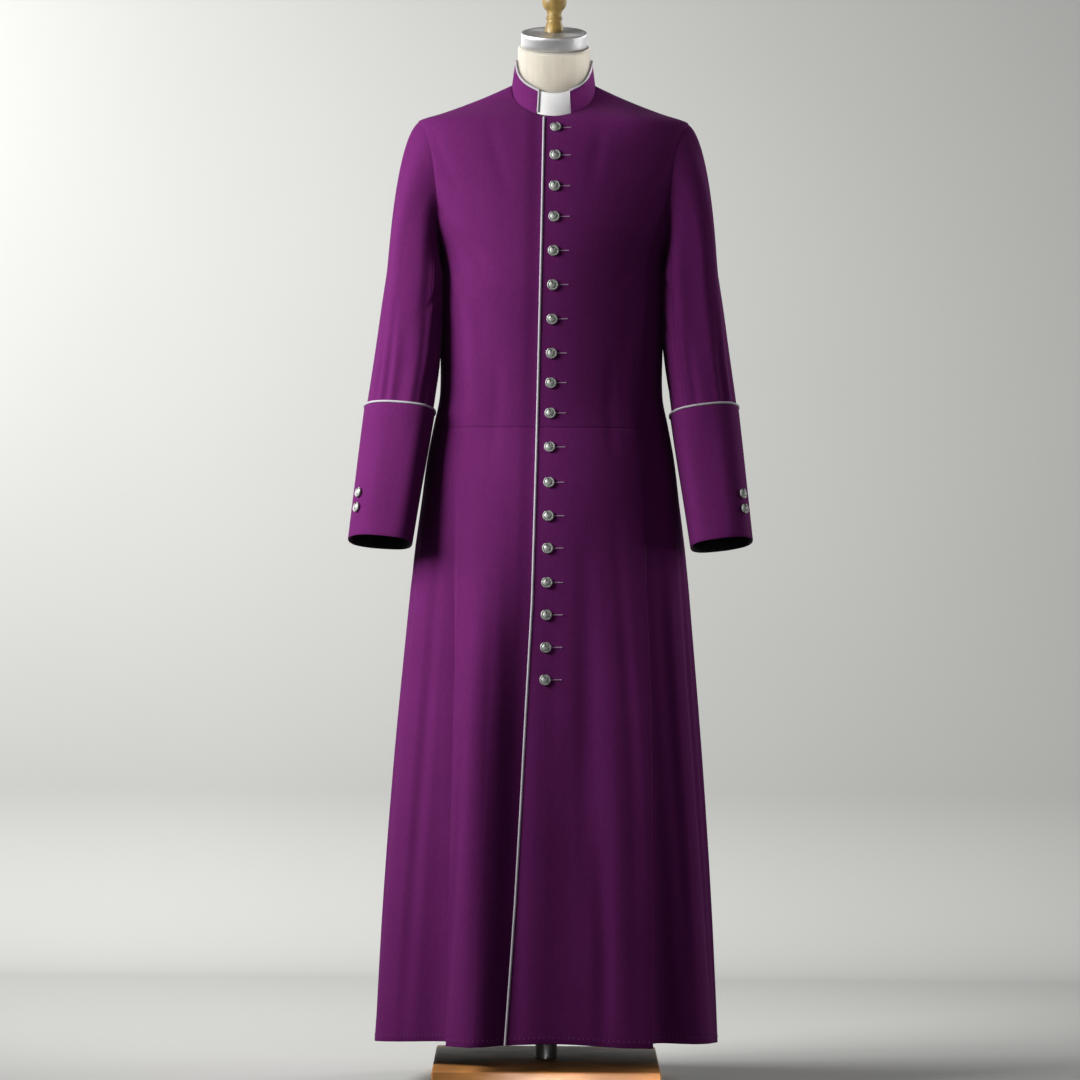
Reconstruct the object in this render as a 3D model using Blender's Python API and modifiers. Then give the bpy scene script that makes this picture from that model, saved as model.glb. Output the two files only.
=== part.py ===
"""A cassock on a limbless dress form, built panel by panel at its real size.

Metres, +Z up. The origin is the centre of the base's underside, on the pole's axis. The front faces -Y and
+X is the wearer's left. Left and right in the names are the wearer's. Every cloth piece is a wall between an
outer and an inner skin, whose points come from the sections below.
"""

from collections import namedtuple
from math import acos, asin, atan2, cos, degrees, pi, radians, sin

import bmesh
import bpy
from mathutils import Matrix, Vector

# Cloth and gaps
CLOTH = 0.002
CUFF_CLOTH = 0.0026
SEAM = 0.0008
ARMHOLE_SEAM = 0.0012
SEAT = 0.0004
PIPING_RADIUS = 0.0019
PIPING_TOP_GAP = 0.003
PIPING_HEM_GAP = 0.001
TAB_THICKNESS = 0.0012
TURN_STEP = 0.02
SLEEVE_MEAN_RADIUS = 0.055
NECK_SPARE = 0.060
PLEAT_LEAD = 0.012
PLEAT_COLUMNS = (-0.004, 0.002, 0.006)

# Heights
HEM_SIDE = 0.066
HEM_RISE_FRONT = 0.015
WAIST_SEAM = 1.0325
ARMPIT = 1.305
SHOULDER_POINT = 1.517
NECK_TOP = 1.636

# Body of the garment: ellipses, the front and the back half each with its own depth
Section = namedtuple("Section", "height half_width front_depth back_depth")
BODY = [
    Section(0.060, 0.2700, 0.192, 0.236),
    Section(0.300, 0.2550, 0.181, 0.217),
    Section(0.510, 0.2400, 0.171, 0.196),
    Section(0.700, 0.2250, 0.159, 0.172),
    Section(0.825, 0.2150, 0.150, 0.153),
    Section(0.920, 0.2030, 0.140, 0.135),
    Section(0.983, 0.1950, 0.130, 0.120),
    Section(1.033, 0.1850, 0.119, 0.107),
    Section(1.085, 0.1745, 0.116, 0.103),
    Section(1.170, 0.1750, 0.119, 0.108),
    Section(1.250, 0.1780, 0.124, 0.116),
    Section(1.305, 0.1800, 0.126, 0.121),
    Section(1.350, 0.2000, 0.124, 0.123),
    Section(1.394, 0.2150, 0.119, 0.122),
    Section(1.433, 0.2260, 0.111, 0.120),
    Section(1.473, 0.2270, 0.099, 0.114),
    Section(1.500, 0.2210, 0.084, 0.105),
    Section(1.517, 0.2130, 0.072, 0.098),
    Section(1.530, 0.1740, 0.057, 0.092),
    Section(1.545, 0.1340, 0.036, 0.085),
    Section(1.560, 0.0980, 0.019, 0.080),
    Section(1.576, 0.0640, 0.008, 0.075),
    Section(1.592, 0.0350, 0.004, 0.066),
]

# Armhole: an oval seen from the side
ARMHOLE_HALF_DEPTH_FRONT = 0.064
ARMHOLE_HALF_DEPTH_BACK = 0.060

# Neck seam and stand collar: ellipses round the neck
NECK_SEAM_HALF_WIDTH = 0.0660
NECK_SEAM_HALF_DEPTH = 0.0710
NECK_SEAM_MIDDLE = 0.0030
COLLAR_TOP_HALF_WIDTH = 0.0610
COLLAR_TOP_HALF_DEPTH = 0.0640
COLLAR_TOP_MIDDLE = -0.0010
COLLAR_HEIGHT_FRONT = 0.0355
COLLAR_HEIGHT_BACK = 0.0400
COLLAR_RIGHT_END = -0.0205
COLLAR_LEFT_END = 0.0285
TAB_TUCK = 0.0060

# Front lap: the left front's edge, from the neck to the hem, as x at a height
LapPoint = namedtuple("LapPoint", "height across")
LAP = [
    LapPoint(0.060, -0.0570),
    LapPoint(0.300, -0.0440),
    LapPoint(0.450, -0.0375),
    LapPoint(0.610, -0.0310),
    LapPoint(0.760, -0.0245),
    LapPoint(1.070, -0.0190),
    LapPoint(1.330, -0.0150),
    LapPoint(1.500, -0.0130),
    LapPoint(1.600, -0.0120),
]
UNDERLAP = 0.0200
LAP_BLEND = 0.0320

# Skirt: a front that steps forward of the sides at a folded pleat edge, and soft flutes
PLEAT_START = 0.985
PLEAT_EDGE = 0.1540
PLEAT_RETURN = 0.0110
PLEAT_STEP = 0.0340
LAST_BUTTON_HEIGHT = 0.642
LAP_VALLEY = 0.0130
LAP_VALLEY_WIDTH = 0.0560
Flute = namedtuple("Flute", "middle rise half_width")
FRONT_FLUTES = [  # middle and half width in metres across the front
    Flute(-0.136, 0.0050, 0.034),
    Flute(0.082, 0.0080, 0.062),
]
ROUND_FLUTES = [  # middle and half width in degrees round from the front
    Flute(-47.0, -0.0080, 12.0),
    Flute(-68.0, 0.0040, 14.0),
    Flute(44.0, -0.0110, 12.0),
    Flute(64.0, 0.0050, 15.0),
    Flute(101.0, -0.0060, 15.0),
    Flute(-101.0, -0.0060, 15.0),
    Flute(124.0, 0.0130, 15.0),
    Flute(-126.0, 0.0120, 15.0),
    Flute(149.0, -0.0090, 12.0),
    Flute(-149.0, -0.0100, 12.0),
    Flute(168.0, 0.0110, 11.0),
    Flute(-168.0, 0.0120, 11.0),
    Flute(180.0, -0.0100, 8.0),
]
SIDE_BACK_SEAM = 104.0

# Sleeve below the cap: rings square to the arm's line, for the wearer's left arm
Ring = namedtuple("Ring", "across forward height half_width half_depth")
SLEEVE = [
    Ring(0.2225, 0.004, 1.270, 0.0395, 0.0720),
    Ring(0.2265, 0.007, 1.215, 0.0435, 0.0690),
    Ring(0.2300, 0.012, 1.165, 0.0465, 0.0655),
    Ring(0.2345, 0.018, 1.115, 0.0490, 0.0615),
    Ring(0.2400, 0.026, 1.072, 0.0497, 0.0561),
    Ring(0.2438, 0.031, 1.045, 0.0495, 0.0555),
]
CUFF = [
    Ring(0.2420, 0.0285, 1.058, 0.0532, 0.0592),
    Ring(0.2505, 0.0410, 0.993, 0.0520, 0.0585),
    Ring(0.2595, 0.0545, 0.925, 0.0502, 0.0572),
    Ring(0.2690, 0.0690, 0.852, 0.0485, 0.0560),
]
CAP_RISE = 0.150
CAP_REACH = 0.030

# Buttons
BUTTON_RADIUS = 0.0086
BUTTON_HEIGHT = 0.0058
CUFF_BUTTON_RADIUS = 0.0080
FRONT_BUTTON_DROPS = [  # below the neck seam's front, one for each button
    0.020, 0.065, 0.114, 0.162, 0.215, 0.268, 0.321, 0.374, 0.420,
    0.467, 0.520, 0.575, 0.627, 0.677, 0.730, 0.780, 0.830, 0.880,
]
NECK_SEAM_FRONT = 1.5215
BUTTON_LINE_TOP = 0.0035
BUTTON_LINE_BOTTOM = -0.0065
CUFF_BUTTON_TURN = 44.0
CUFF_BUTTON_PLACES = (0.70, 0.81)

# Dress form
FormInset = namedtuple("FormInset", "height inset")
FORM_INSETS = [
    FormInset(0.880, 0.0340),
    FormInset(1.033, 0.0140),
    FormInset(1.120, 0.0090),
    FormInset(1.300, 0.0090),
    FormInset(1.440, 0.0075),
    FormInset(1.500, 0.0073),
    FormInset(1.600, 0.0076),
]
FORM_BOTTOM = 0.880
FORM_TOP = 1.558
ARM_PLATE = 0.1740
NECK_HALF_WIDTH = 0.0570
NECK_HALF_DEPTH = 0.0580
NECK_ROOT = 1.480
NECK_TILT = radians(17.0)
CAP_RADIUS = 0.0520
CAP_THICKNESS = 0.0232
CAP_SIDES = 32
CAP_EDGE = 0.0016
POLE_RADIUS = 0.0170
BASE_SIDE = 0.3540
BASE_HEIGHT = 0.0380
BASE_EDGE = 0.0035

Colour = namedtuple("Colour", "red green blue roughness metallic")
COLOURS = {
    "purple_cloth": Colour(0.090, 0.012, 0.088, 0.85, 0.0),
    "silver_piping": Colour(0.520, 0.480, 0.540, 0.45, 0.3),
    "silver_button": Colour(0.420, 0.430, 0.410, 0.38, 0.8),
    "white_tab": Colour(0.800, 0.790, 0.770, 0.55, 0.0),
    "linen": Colour(0.640, 0.560, 0.430, 0.90, 0.0),
    "brushed_metal": Colour(0.560, 0.560, 0.550, 0.35, 1.0),
    "turned_wood": Colour(0.440, 0.280, 0.110, 0.45, 0.0),
    "dark_pole": Colour(0.030, 0.025, 0.022, 0.45, 0.2),
    "base_wood": Colour(0.520, 0.300, 0.140, 0.55, 0.0),
}


def clear_scene():
    for thing in list(bpy.data.objects):
        bpy.data.objects.remove(thing, do_unlink=True)


def new_collection(name):
    collection = bpy.data.collections.new(name)
    bpy.context.scene.collection.children.link(collection)
    return collection


def material(name):
    found = bpy.data.materials.get(name)
    if found:
        return found
    colour = COLOURS[name]
    made = bpy.data.materials.new(name)
    made.use_nodes = True
    shader = made.node_tree.nodes["Principled BSDF"]
    shader.inputs["Base Color"].default_value = (colour.red, colour.green, colour.blue, 1.0)
    shader.inputs["Roughness"].default_value = colour.roughness
    shader.inputs["Metallic"].default_value = colour.metallic
    made.diffuse_color = (colour.red, colour.green, colour.blue, 1.0)
    return made


def finish(thing, finish_name, collection):
    """Move an object into its collection and give it its material."""
    for other in list(thing.users_collection):
        other.objects.unlink(thing)
    collection.objects.link(thing)
    thing.data.materials.clear()
    thing.data.materials.append(material(finish_name))
    return thing


def smooth(value):
    """0 below 0, 1 above 1, and an even S between them."""
    value = min(1.0, max(0.0, value))
    return value * value * (3.0 - 2.0 * value)


def bump(value):
    """1 in the middle, 0 from -1 and +1 outwards, round between them."""
    return cos(0.5 * pi * value) ** 2 if abs(value) < 1.0 else 0.0


def between(table, height):
    """The table's row at a height, on a smooth curve through its rows."""
    heights = [row.height for row in table]
    last = len(table) - 1
    height = min(max(height, heights[0]), heights[last])
    below = max(i for i in range(last) if heights[i] <= height)
    span = heights[below + 1] - heights[below]
    part = (height - heights[below]) / span

    def slope(index, column):
        before, after = max(index - 1, 0), min(index + 1, last)
        return (table[after][column] - table[before][column]) / (heights[after] - heights[before])

    values = []
    for column in range(len(table[0])):
        start, end = table[below][column], table[below + 1][column]
        leave, arrive = slope(below, column) * span, slope(below + 1, column) * span
        values.append(
            (2 * part**3 - 3 * part**2 + 1) * start
            + (part**3 - 2 * part**2 + part) * leave
            + (3 * part**2 - 2 * part**3) * end
            + (part**3 - part**2) * arrive
        )
    return type(table[0])(*values)


def linear(table, height):
    """The table's row at a height, on straight lines between its rows."""
    for low, high in zip(table, table[1:]):
        if height <= high.height:
            part = max(0.0, (height - low.height) / (high.height - low.height))
            return type(low)(*(a + (b - a) * part for a, b in zip(low, high)))
    return table[-1]


def turn_at(across, height):
    """The angle round from the centre front at which the body is this far across."""
    return asin(max(-1.0, min(1.0, across / between(BODY, height).half_width)))


def pleat_growth(height):
    return max(0.0, (PLEAT_START - height) / (PLEAT_START - HEM_SIDE)) ** 1.1


def skirt_lift(turn, height):
    """How far the skirt's folds stand out of the plain body."""
    growth = pleat_growth(height)
    if growth == 0.0:
        return 0.0
    lift = 0.0
    turned = degrees(turn)
    for flute in ROUND_FLUTES:
        away = (turned - flute.middle + 180.0) % 360.0 - 180.0
        lift += flute.rise * bump(away / flute.half_width)
    if cos(turn) > 0.0:
        across = between(BODY, height).half_width * sin(turn)
        ramp = (PLEAT_EDGE + PLEAT_RETURN - abs(across)) / (PLEAT_RETURN + 0.004)
        lift = lift * (1.0 - smooth(ramp)) + PLEAT_STEP * smooth(ramp)
        for flute in FRONT_FLUTES:
            lift += flute.rise * bump((across - flute.middle) / flute.half_width)
    return growth * lift


def plain_point(turn, height, lift=0.0):
    """A point of the body's ellipse at a height, moved out level by a lift."""
    ring = between(BODY, height)
    depth = ring.front_depth if cos(turn) > 0.0 else ring.back_depth
    out = Vector((sin(turn) / ring.half_width, -cos(turn) / depth, 0.0)).normalized()
    return Vector((ring.half_width * sin(turn), -depth * cos(turn), height)) + out * lift


def body_point(turn, height):
    return plain_point(turn, height, skirt_lift(turn, height))


def underlap_point(turn, height):
    """The right front: it sinks below the left front's lap, and loosely so under the last button."""
    point = body_point(turn, height)
    lap = linear(LAP, height).across
    sink = (CLOTH + SEAT) * smooth((point.x - lap + LAP_BLEND) / (LAP_BLEND - 0.006))
    loose = max(0.0, (LAST_BUTTON_HEIGHT - height) / (LAST_BUTTON_HEIGHT - HEM_SIDE)) ** 1.2
    sink += LAP_VALLEY * loose * smooth((point.x - lap + LAP_VALLEY_WIDTH) / LAP_VALLEY_WIDTH)
    return point - outward(body_point, turn, height) * sink


def outward(surface, turn, height):
    """The surface's outward normal, from neighbouring points."""
    step_turn, step_height = 0.004, 0.0015
    across = surface(turn + step_turn, height) - surface(turn - step_turn, height)
    along = surface(turn, height + step_height) - surface(turn, height - step_height)
    return across.cross(along).normalized()


def wall(name, outer, inner, finish_name, collection, wraps=False):
    """A closed wall between two skins, each given as rows of points; a wall that wraps is a tube."""
    shape = bmesh.new()
    skins = [[[shape.verts.new(point) for point in row] for row in skin] for skin in (outer, inner)]
    rows, columns = len(outer), len(outer[0])
    steps = columns if wraps else columns - 1
    for skin in skins:
        for row in range(rows - 1):
            for column in range(steps):
                after = (column + 1) % columns
                corners = (skin[row][column], skin[row][after], skin[row + 1][after], skin[row + 1][column])
                shape.faces.new(corners if skin is skins[0] else corners[::-1])
    front, back = skins
    for row in (0, rows - 1):
        for column in range(steps):
            after = (column + 1) % columns
            corners = (front[row][column], back[row][column], back[row][after], front[row][after])
            shape.faces.new(corners if row == 0 else corners[::-1])
    if not wraps:
        for column in (0, columns - 1):
            for row in range(rows - 1):
                corners = (
                    front[row][column], front[row + 1][column], back[row + 1][column], back[row][column])
                shape.faces.new(corners if column == 0 else corners[::-1])
    bmesh.ops.recalc_face_normals(shape, faces=shape.faces)
    data = bpy.data.meshes.new(name)
    shape.to_mesh(data)
    shape.free()
    data.shade_smooth()
    data.set_sharp_from_angle(angle=radians(40.0))
    thing = bpy.data.objects.new(name, data)
    collection.objects.link(thing)
    data.materials.append(material(finish_name))
    return thing


def cloth_panel(name, surface, grid, collection, shift=Vector((0.0, 0.0, 0.0))):
    """A panel of body cloth from a grid of (turn, height) places on a surface."""
    outer, inner = [], []
    for row in grid:
        outer.append([surface(turn, height) + shift for turn, height in row])
        inner.append([
            surface(turn, height) + shift - outward(surface, turn, height) * CLOTH
            for turn, height in row
        ])
    return wall(name, outer, inner, "purple_cloth", collection)


# Bodice -------------------------------------------------------------------------------------------

BODICE_ROWS_BELOW_ARMPIT = 6
BODICE_ROWS_AT_ARMHOLE = 10
FRONT_COLUMNS_AT_NECK = 5
BACK_COLUMNS_AT_NECK = 6
COLUMNS_AT_SHOULDER = 5


def armhole_place(turn_round, front):
    """(spread, height) on the armhole's oval; the angle runs from the armpit up to the shoulder point."""
    middle, half = (SHOULDER_POINT + ARMPIT) / 2.0, (SHOULDER_POINT - ARMPIT) / 2.0
    height = middle - half * cos(turn_round)
    ring = between(BODY, height)
    if front:
        depth, half_depth = ring.front_depth, ARMHOLE_HALF_DEPTH_FRONT
    else:
        depth, half_depth = ring.back_depth, ARMHOLE_HALF_DEPTH_BACK
    turn = acos(min(1.0, half_depth * sin(turn_round) / depth))
    return spread_of(turn, height), height


def spread_of(turn, height):
    """A flat-pattern coordinate: the share of a quarter turn, times the half width."""
    return between(BODY, height).half_width * turn / (0.5 * pi)


def neck_place(round_neck, front):
    """(spread, height) where the upright neck ellipse meets the body, for an angle round from its middle."""
    x = NECK_SEAM_HALF_WIDTH * sin(round_neck)
    depth = NECK_SEAM_HALF_DEPTH * cos(round_neck)
    y = NECK_SEAM_MIDDLE + (-depth if front else depth)
    low, high = 1.480, 1.590
    for _ in range(40):
        height = (low + high) / 2.0
        ring = between(BODY, height)
        ring_depth = ring.front_depth if y < 0.0 else ring.back_depth
        inside = (x / ring.half_width) ** 2 + (y / ring_depth) ** 2 < 1.0
        low, high = (height, high) if inside else (low, height)
    depth_share = abs(y) / ring_depth
    turn = atan2(x / ring.half_width, depth_share)
    return spread_of(turn, height), height


def neck_quarter(front):
    """The angle round the neck from its middle to the shoulder seam, where y is 0."""
    share = NECK_SEAM_MIDDLE / NECK_SEAM_HALF_DEPTH
    return acos(share if front else -share)


def neck_angles(start, columns, front):
    """The angles at which a bodice piece's columns meet the neck seam."""
    end = neck_quarter(front)
    return [start + (end - start) * column / columns for column in range(columns + 1)]


def lap_neck_angle(across):
    return asin(across / NECK_SEAM_HALF_WIDTH)


def half_pattern(front, inner_across, neck_start, columns_at_neck):
    """One half of a bodice piece as rows of (turn, height): a flat pattern filled in from its four edges."""
    columns = columns_at_neck + COLUMNS_AT_SHOULDER
    rows = BODICE_ROWS_BELOW_ARMPIT + BODICE_ROWS_AT_ARMHOLE
    side_neck = neck_place(neck_quarter(front), front)[1]

    def top_edge(column):
        if column <= columns_at_neck:
            return neck_place(neck_angles(neck_start, columns_at_neck, front)[column], front)
        part = (column - columns_at_neck) / COLUMNS_AT_SHOULDER
        height = side_neck + (SHOULDER_POINT - side_neck) * part
        return between(BODY, height).half_width, height

    def outer_edge(row):
        if row <= BODICE_ROWS_BELOW_ARMPIT:
            height = WAIST_SEAM + (ARMPIT - WAIST_SEAM) * row / BODICE_ROWS_BELOW_ARMPIT
            return between(BODY, height).half_width, height
        part = (row - BODICE_ROWS_BELOW_ARMPIT) / BODICE_ROWS_AT_ARMHOLE
        return armhole_place(pi * part, front)

    def inner_edge(row):
        height = WAIST_SEAM + (top_edge(0)[1] - WAIST_SEAM) * row / rows
        return spread_of(turn_at(inner_across(height), height), height), height

    def bottom_edge(column):
        start = inner_edge(0)[0]
        return start + (between(BODY, WAIST_SEAM).half_width - start) * column / columns, WAIST_SEAM

    grid = []
    for row in bodice_rows():
        up = row / rows
        line = []
        for column in range(columns + 1):
            out = column / columns
            place = []
            for axis in (0, 1):
                along = (1 - up) * bottom_edge(column)[axis] + up * top_edge(column)[axis]
                sideways = (1 - out) * inner_edge(row)[axis] + out * outer_edge(row)[axis]
                corners = (
                    (1 - out) * (1 - up) * bottom_edge(0)[axis]
                    + out * (1 - up) * bottom_edge(columns)[axis]
                    + (1 - out) * up * top_edge(0)[axis]
                    + out * up * top_edge(columns)[axis]
                )
                place.append(along + sideways - corners)
            spread, height = place
            share = min(1.0, spread / between(BODY, height).half_width)
            line.append((share * 0.5 * pi, height))
        grid.append(line)
    return grid


LEFT_NECK_START = lap_neck_angle(UNDERLAP)
RIGHT_NECK_START = lap_neck_angle(-linear(LAP, NECK_SEAM_FRONT).across)


def bodice_rows():
    """Row numbers from the waist to the top edge, with one more half a row under the top."""
    rows = BODICE_ROWS_BELOW_ARMPIT + BODICE_ROWS_AT_ARMHOLE
    return list(range(rows)) + [rows - 0.5, rows]


LAP_PARTS = (0.0, 0.34, 0.67, 1.0)


def lap_columns(height):
    """Turns across the lap, from the left front's edge towards the right front's hidden edge."""
    lap = linear(LAP, height).across
    return [turn_at(lap + (UNDERLAP - lap) * part, height) for part in LAP_PARTS[:-1]]


def bodice_front(side, collection):
    """A bodice front; the columns across the lap are shared by both fronts, so that they lie evenly."""
    name = "bodice_front_left" if side > 0 else "bodice_front_right"
    surface = body_point if side > 0 else underlap_point

    if side > 0:
        half = half_pattern(True, lambda height: UNDERLAP, LEFT_NECK_START, FRONT_COLUMNS_AT_NECK)
        grid = []
        for row in half:
            inner_height = row[0][1]
            grid.append([
                (turn, neck_line(turn, inner_height, row is half[-1])) for turn in lap_columns(inner_height)
            ] + row)
    else:
        half = half_pattern(
            True, lambda height: -linear(LAP, height).across, RIGHT_NECK_START, FRONT_COLUMNS_AT_NECK)
        grid = []
        for row in half:
            inner_height = row[0][1]
            mirrored = [(-turn, height) for turn, height in row[::-1]]
            lap = lap_columns(inner_height)[1:] + [turn_at(UNDERLAP, inner_height)]
            grid.append(mirrored + [
                (turn, neck_line(turn, inner_height, row is half[-1])) for turn in lap
            ])
    return cloth_panel(name, surface, grid, collection, Vector((0.0, -SEAM / 2.0, 0.0)))


def neck_line(turn, height, at_neck):
    """The height of a lap point: on the neck seam in the top row, level with its row below."""
    if not at_neck:
        return height
    across = between(BODY, height).half_width * sin(turn)
    return neck_place(lap_neck_angle(across), True)[1]


def bodice_back(collection):
    half = half_pattern(False, lambda height: 0.0, 0.0, BACK_COLUMNS_AT_NECK)
    grid = []
    for row in half:
        left = [(pi - turn, height) for turn, height in row[::-1]]
        right = [(pi + turn, height) for turn, height in row[1:]]
        grid.append(left + right)
    return cloth_panel("bodice_back", body_point, grid, collection, Vector((0.0, SEAM / 2.0, 0.0)))


# Skirt --------------------------------------------------------------------------------------------

SKIRT_ROWS = 13
FRONT_COLUMNS = 6
SIDE_COLUMNS = 9
BACK_COLUMNS = 26


def skirt_height(turn, row):
    """Rows run from just under the waist seam to a hem that rises a little towards the front."""
    hem = HEM_SIDE + HEM_RISE_FRONT * max(0.0, cos(turn))
    top = WAIST_SEAM - SEAM / 2.0
    return top + (hem - top) * (row / SKIRT_ROWS) ** 1.1


def skirt_grid(turns_at):
    grid = []
    for row in range(SKIRT_ROWS + 1):
        level = skirt_height(0.5, row)
        grid.append([(turn, skirt_height(turn, row)) for turn in turns_at(level)])
    return grid


def skirt_front(side, collection):
    name = "skirt_front_left" if side > 0 else "skirt_front_right"
    surface = body_point if side > 0 else underlap_point

    def turns_at(height):
        lap = linear(LAP, height).across
        lap_part = [lap + (UNDERLAP - lap) * part for part in LAP_PARTS]
        start = UNDERLAP if side > 0 else -lap
        plain_end = PLEAT_EDGE - PLEAT_LEAD
        plain = [start + (plain_end - start) * step / FRONT_COLUMNS for step in range(1, FRONT_COLUMNS + 1)]
        edge = [PLEAT_EDGE + across for across in PLEAT_COLUMNS]
        edge.append(PLEAT_EDGE + PLEAT_RETURN)
        if side > 0:
            line = lap_part + plain + edge
        else:
            line = [-across for across in (plain + edge)[::-1]] + lap_part
        return [turn_at(across, height) for across in line]

    return cloth_panel(name, surface, skirt_grid(turns_at), collection)


def skirt_side(side, collection):
    name = "skirt_side_left" if side > 0 else "skirt_side_right"

    def turns_at(height):
        start = turn_at(PLEAT_EDGE + PLEAT_RETURN + SEAM, height)
        end = radians(SIDE_BACK_SEAM)
        turns = [start + (end - start) * step / SIDE_COLUMNS for step in range(SIDE_COLUMNS + 1)]
        return turns if side > 0 else [-turn for turn in turns[::-1]]

    return cloth_panel(name, body_point, skirt_grid(turns_at), collection)


def skirt_back(collection):
    def turns_at(height):
        ring = between(BODY, height)
        gap = SEAM / ring.back_depth
        start = radians(SIDE_BACK_SEAM) + gap
        end = 2.0 * pi - start
        return [start + (end - start) * step / BACK_COLUMNS for step in range(BACK_COLUMNS + 1)]

    return cloth_panel("skirt_back", body_point, skirt_grid(turns_at), collection)


# Sleeves and cuffs --------------------------------------------------------------------------------

SLEEVE_STEPS = 20
UNDER_SLEEVE_TURN = 54.0
CAP_STEPS = 6


def ring_frame(table, index):
    """The ring's middle and its two level-ish axes, square to the arm's line."""
    before, after = table[max(index - 1, 0)], table[min(index + 1, len(table) - 1)]
    line = Vector((
        after.across - before.across, before.forward - after.forward, after.height - before.height))
    line.normalize()
    ring = table[index]
    middle = Vector((ring.across, -ring.forward, ring.height))
    across = Vector((1.0, 0.0, 0.0))
    across = (across - line * across.dot(line)).normalized()
    forward = across.cross(line).normalized()
    if forward.y > 0.0:
        forward = -forward
    return middle, across, forward, line


def ring_point(table, index, turn, grow=0.0, slide=0.0):
    """A ring's point; turn 0 is its outer side and a quarter turn its front."""
    middle, across, forward, line = ring_frame(table, index)
    ring = table[index]
    return (
        middle
        + across * ((ring.half_width + grow) * cos(turn))
        + forward * ((ring.half_depth + grow) * sin(turn))
        + line * slide
    )


def armhole_point(turn):
    """The armhole seam; turn 0 is the shoulder point, a quarter turn its front."""
    turned = turn % (2.0 * pi)
    front = turned <= pi
    climb = pi - turned if front else turned - pi
    spread, height = armhole_place(climb, front)
    quarter = spread / between(BODY, height).half_width * 0.5 * pi
    return plain_point(quarter if front else pi - quarter, height)


def cap_point(turn, part):
    """The sleeve's cap: a curve from the armhole, out over the arm and down to the first ring."""
    start = armhole_point(turn) + Vector((ARMHOLE_SEAM, 0.0, 0.0))
    end = ring_point(SLEEVE, 0, turn)
    top_share = (0.5 + 0.5 * cos(turn)) ** 1.3
    reach = start + Vector((CAP_REACH * (0.12 + 0.88 * top_share), 0.0, -0.004 * top_share))
    rise = end + Vector((0.0, 0.0, 0.012 + CAP_RISE * top_share))
    weights = ((1 - part) ** 3, 3 * part * (1 - part) ** 2, 3 * part**2 * (1 - part), part**3)
    total = Vector((0.0, 0.0, 0.0))
    for weight, point in zip(weights, (start, reach, rise, end)):
        total += point * weight
    return total


def sleeve_point(turn, row):
    if row < CAP_STEPS:
        return cap_point(turn, row / CAP_STEPS)
    return ring_point(SLEEVE, row - CAP_STEPS, turn)


def tube_inner(point_at, turn, row, rows, thickness):
    """The inner skin's point, from the tube's own normal."""
    ahead, behind = min(row + 1, rows - 1), max(row - 1, 0)
    along = point_at(turn, ahead) - point_at(turn, behind)
    round_it = point_at(turn + TURN_STEP, row) - point_at(turn - TURN_STEP, row)
    normal = along.cross(round_it).normalized()
    middle = sum((point_at(turn + pi * k / 2.0, row) for k in range(4)), Vector()) / 4.0
    if normal.dot(point_at(turn, row) - middle) < 0.0:
        normal = -normal
    return point_at(turn, row) - normal * thickness


def sleeve_piece(name, side, start, end, steps, collection):
    """A lengthwise piece of the sleeve, between two turns."""
    trim = SEAM / 2.0 / SLEEVE_MEAN_RADIUS
    turns = [start + (end - start) * step / steps for step in range(steps + 1)]
    turns[0] += trim
    turns[-1] -= trim
    if start < 0.0:
        turns = sorted(turns + [-pi / SLEEVE_STEPS, pi / SLEEVE_STEPS])
    rows = CAP_STEPS + len(SLEEVE)
    outer = [[sleeve_point(turn, row) for turn in turns] for row in range(rows)]
    inner = [[tube_inner(sleeve_point, turn, row, rows, CLOTH) for turn in turns] for row in range(rows)]
    return wall(name, mirror_rows(outer, side), mirror_rows(inner, side), "purple_cloth", collection)


def mirror_rows(rows, side):
    return [[Vector((point.x * side, point.y, point.z)) for point in row] for row in rows]


def sleeve(side, collection):
    label = "left" if side > 0 else "right"
    seam = radians(180.0 - UNDER_SLEEVE_TURN)
    step = 2.0 * pi / SLEEVE_STEPS
    upper_steps = round(2.0 * seam / step)
    under_steps = SLEEVE_STEPS - upper_steps
    sleeve_piece("upper_sleeve_" + label, side, -seam, seam, upper_steps, collection)
    sleeve_piece("under_sleeve_" + label, side, seam, 2.0 * pi - seam, under_steps, collection)


def cuff(side, collection):
    label = "left" if side > 0 else "right"
    turns = [2.0 * pi * step / SLEEVE_STEPS for step in range(SLEEVE_STEPS)]
    outer = [[ring_point(CUFF, row, turn) for turn in turns] for row in range(len(CUFF))]
    inner = [[ring_point(CUFF, row, turn, -CUFF_CLOTH) for turn in turns] for row in range(len(CUFF))]
    wall(
        "cuff_" + label, mirror_rows(outer, side), mirror_rows(inner, side), "purple_cloth", collection,
        wraps=True)


def cuff_piping(side, collection):
    """Piping on the cuff's upper edge, lying against the sleeve."""
    label = "left" if side > 0 else "right"
    rise = -(PIPING_RADIUS + SEAT)
    points = []
    for step in range(SLEEVE_STEPS):
        turn = 2.0 * pi * step / SLEEVE_STEPS
        point = ring_point(CUFF, 0, turn, -0.0004, rise)
        points.append(Vector((point.x * side, point.y, point.z)))
    return cord("cuff_piping_" + label, points, collection, closed=True)


# Piping -------------------------------------------------------------------------------------------


def cord(name, points, collection, closed=False):
    """A run of piping: a round bevelled curve through its points."""
    curve = bpy.data.curves.new(name, "CURVE")
    curve.dimensions = "3D"
    curve.bevel_depth = PIPING_RADIUS
    curve.bevel_resolution = 1
    curve.use_fill_caps = True
    line = curve.splines.new("POLY")
    line.points.add(len(points) - 1)
    for place, point in zip(line.points, points):
        place.co = (*point, 1.0)
    line.use_cyclic_u = closed
    thing = bpy.data.objects.new(name, curve)
    collection.objects.link(thing)
    curve.materials.append(material("silver_piping"))
    return thing


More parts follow.
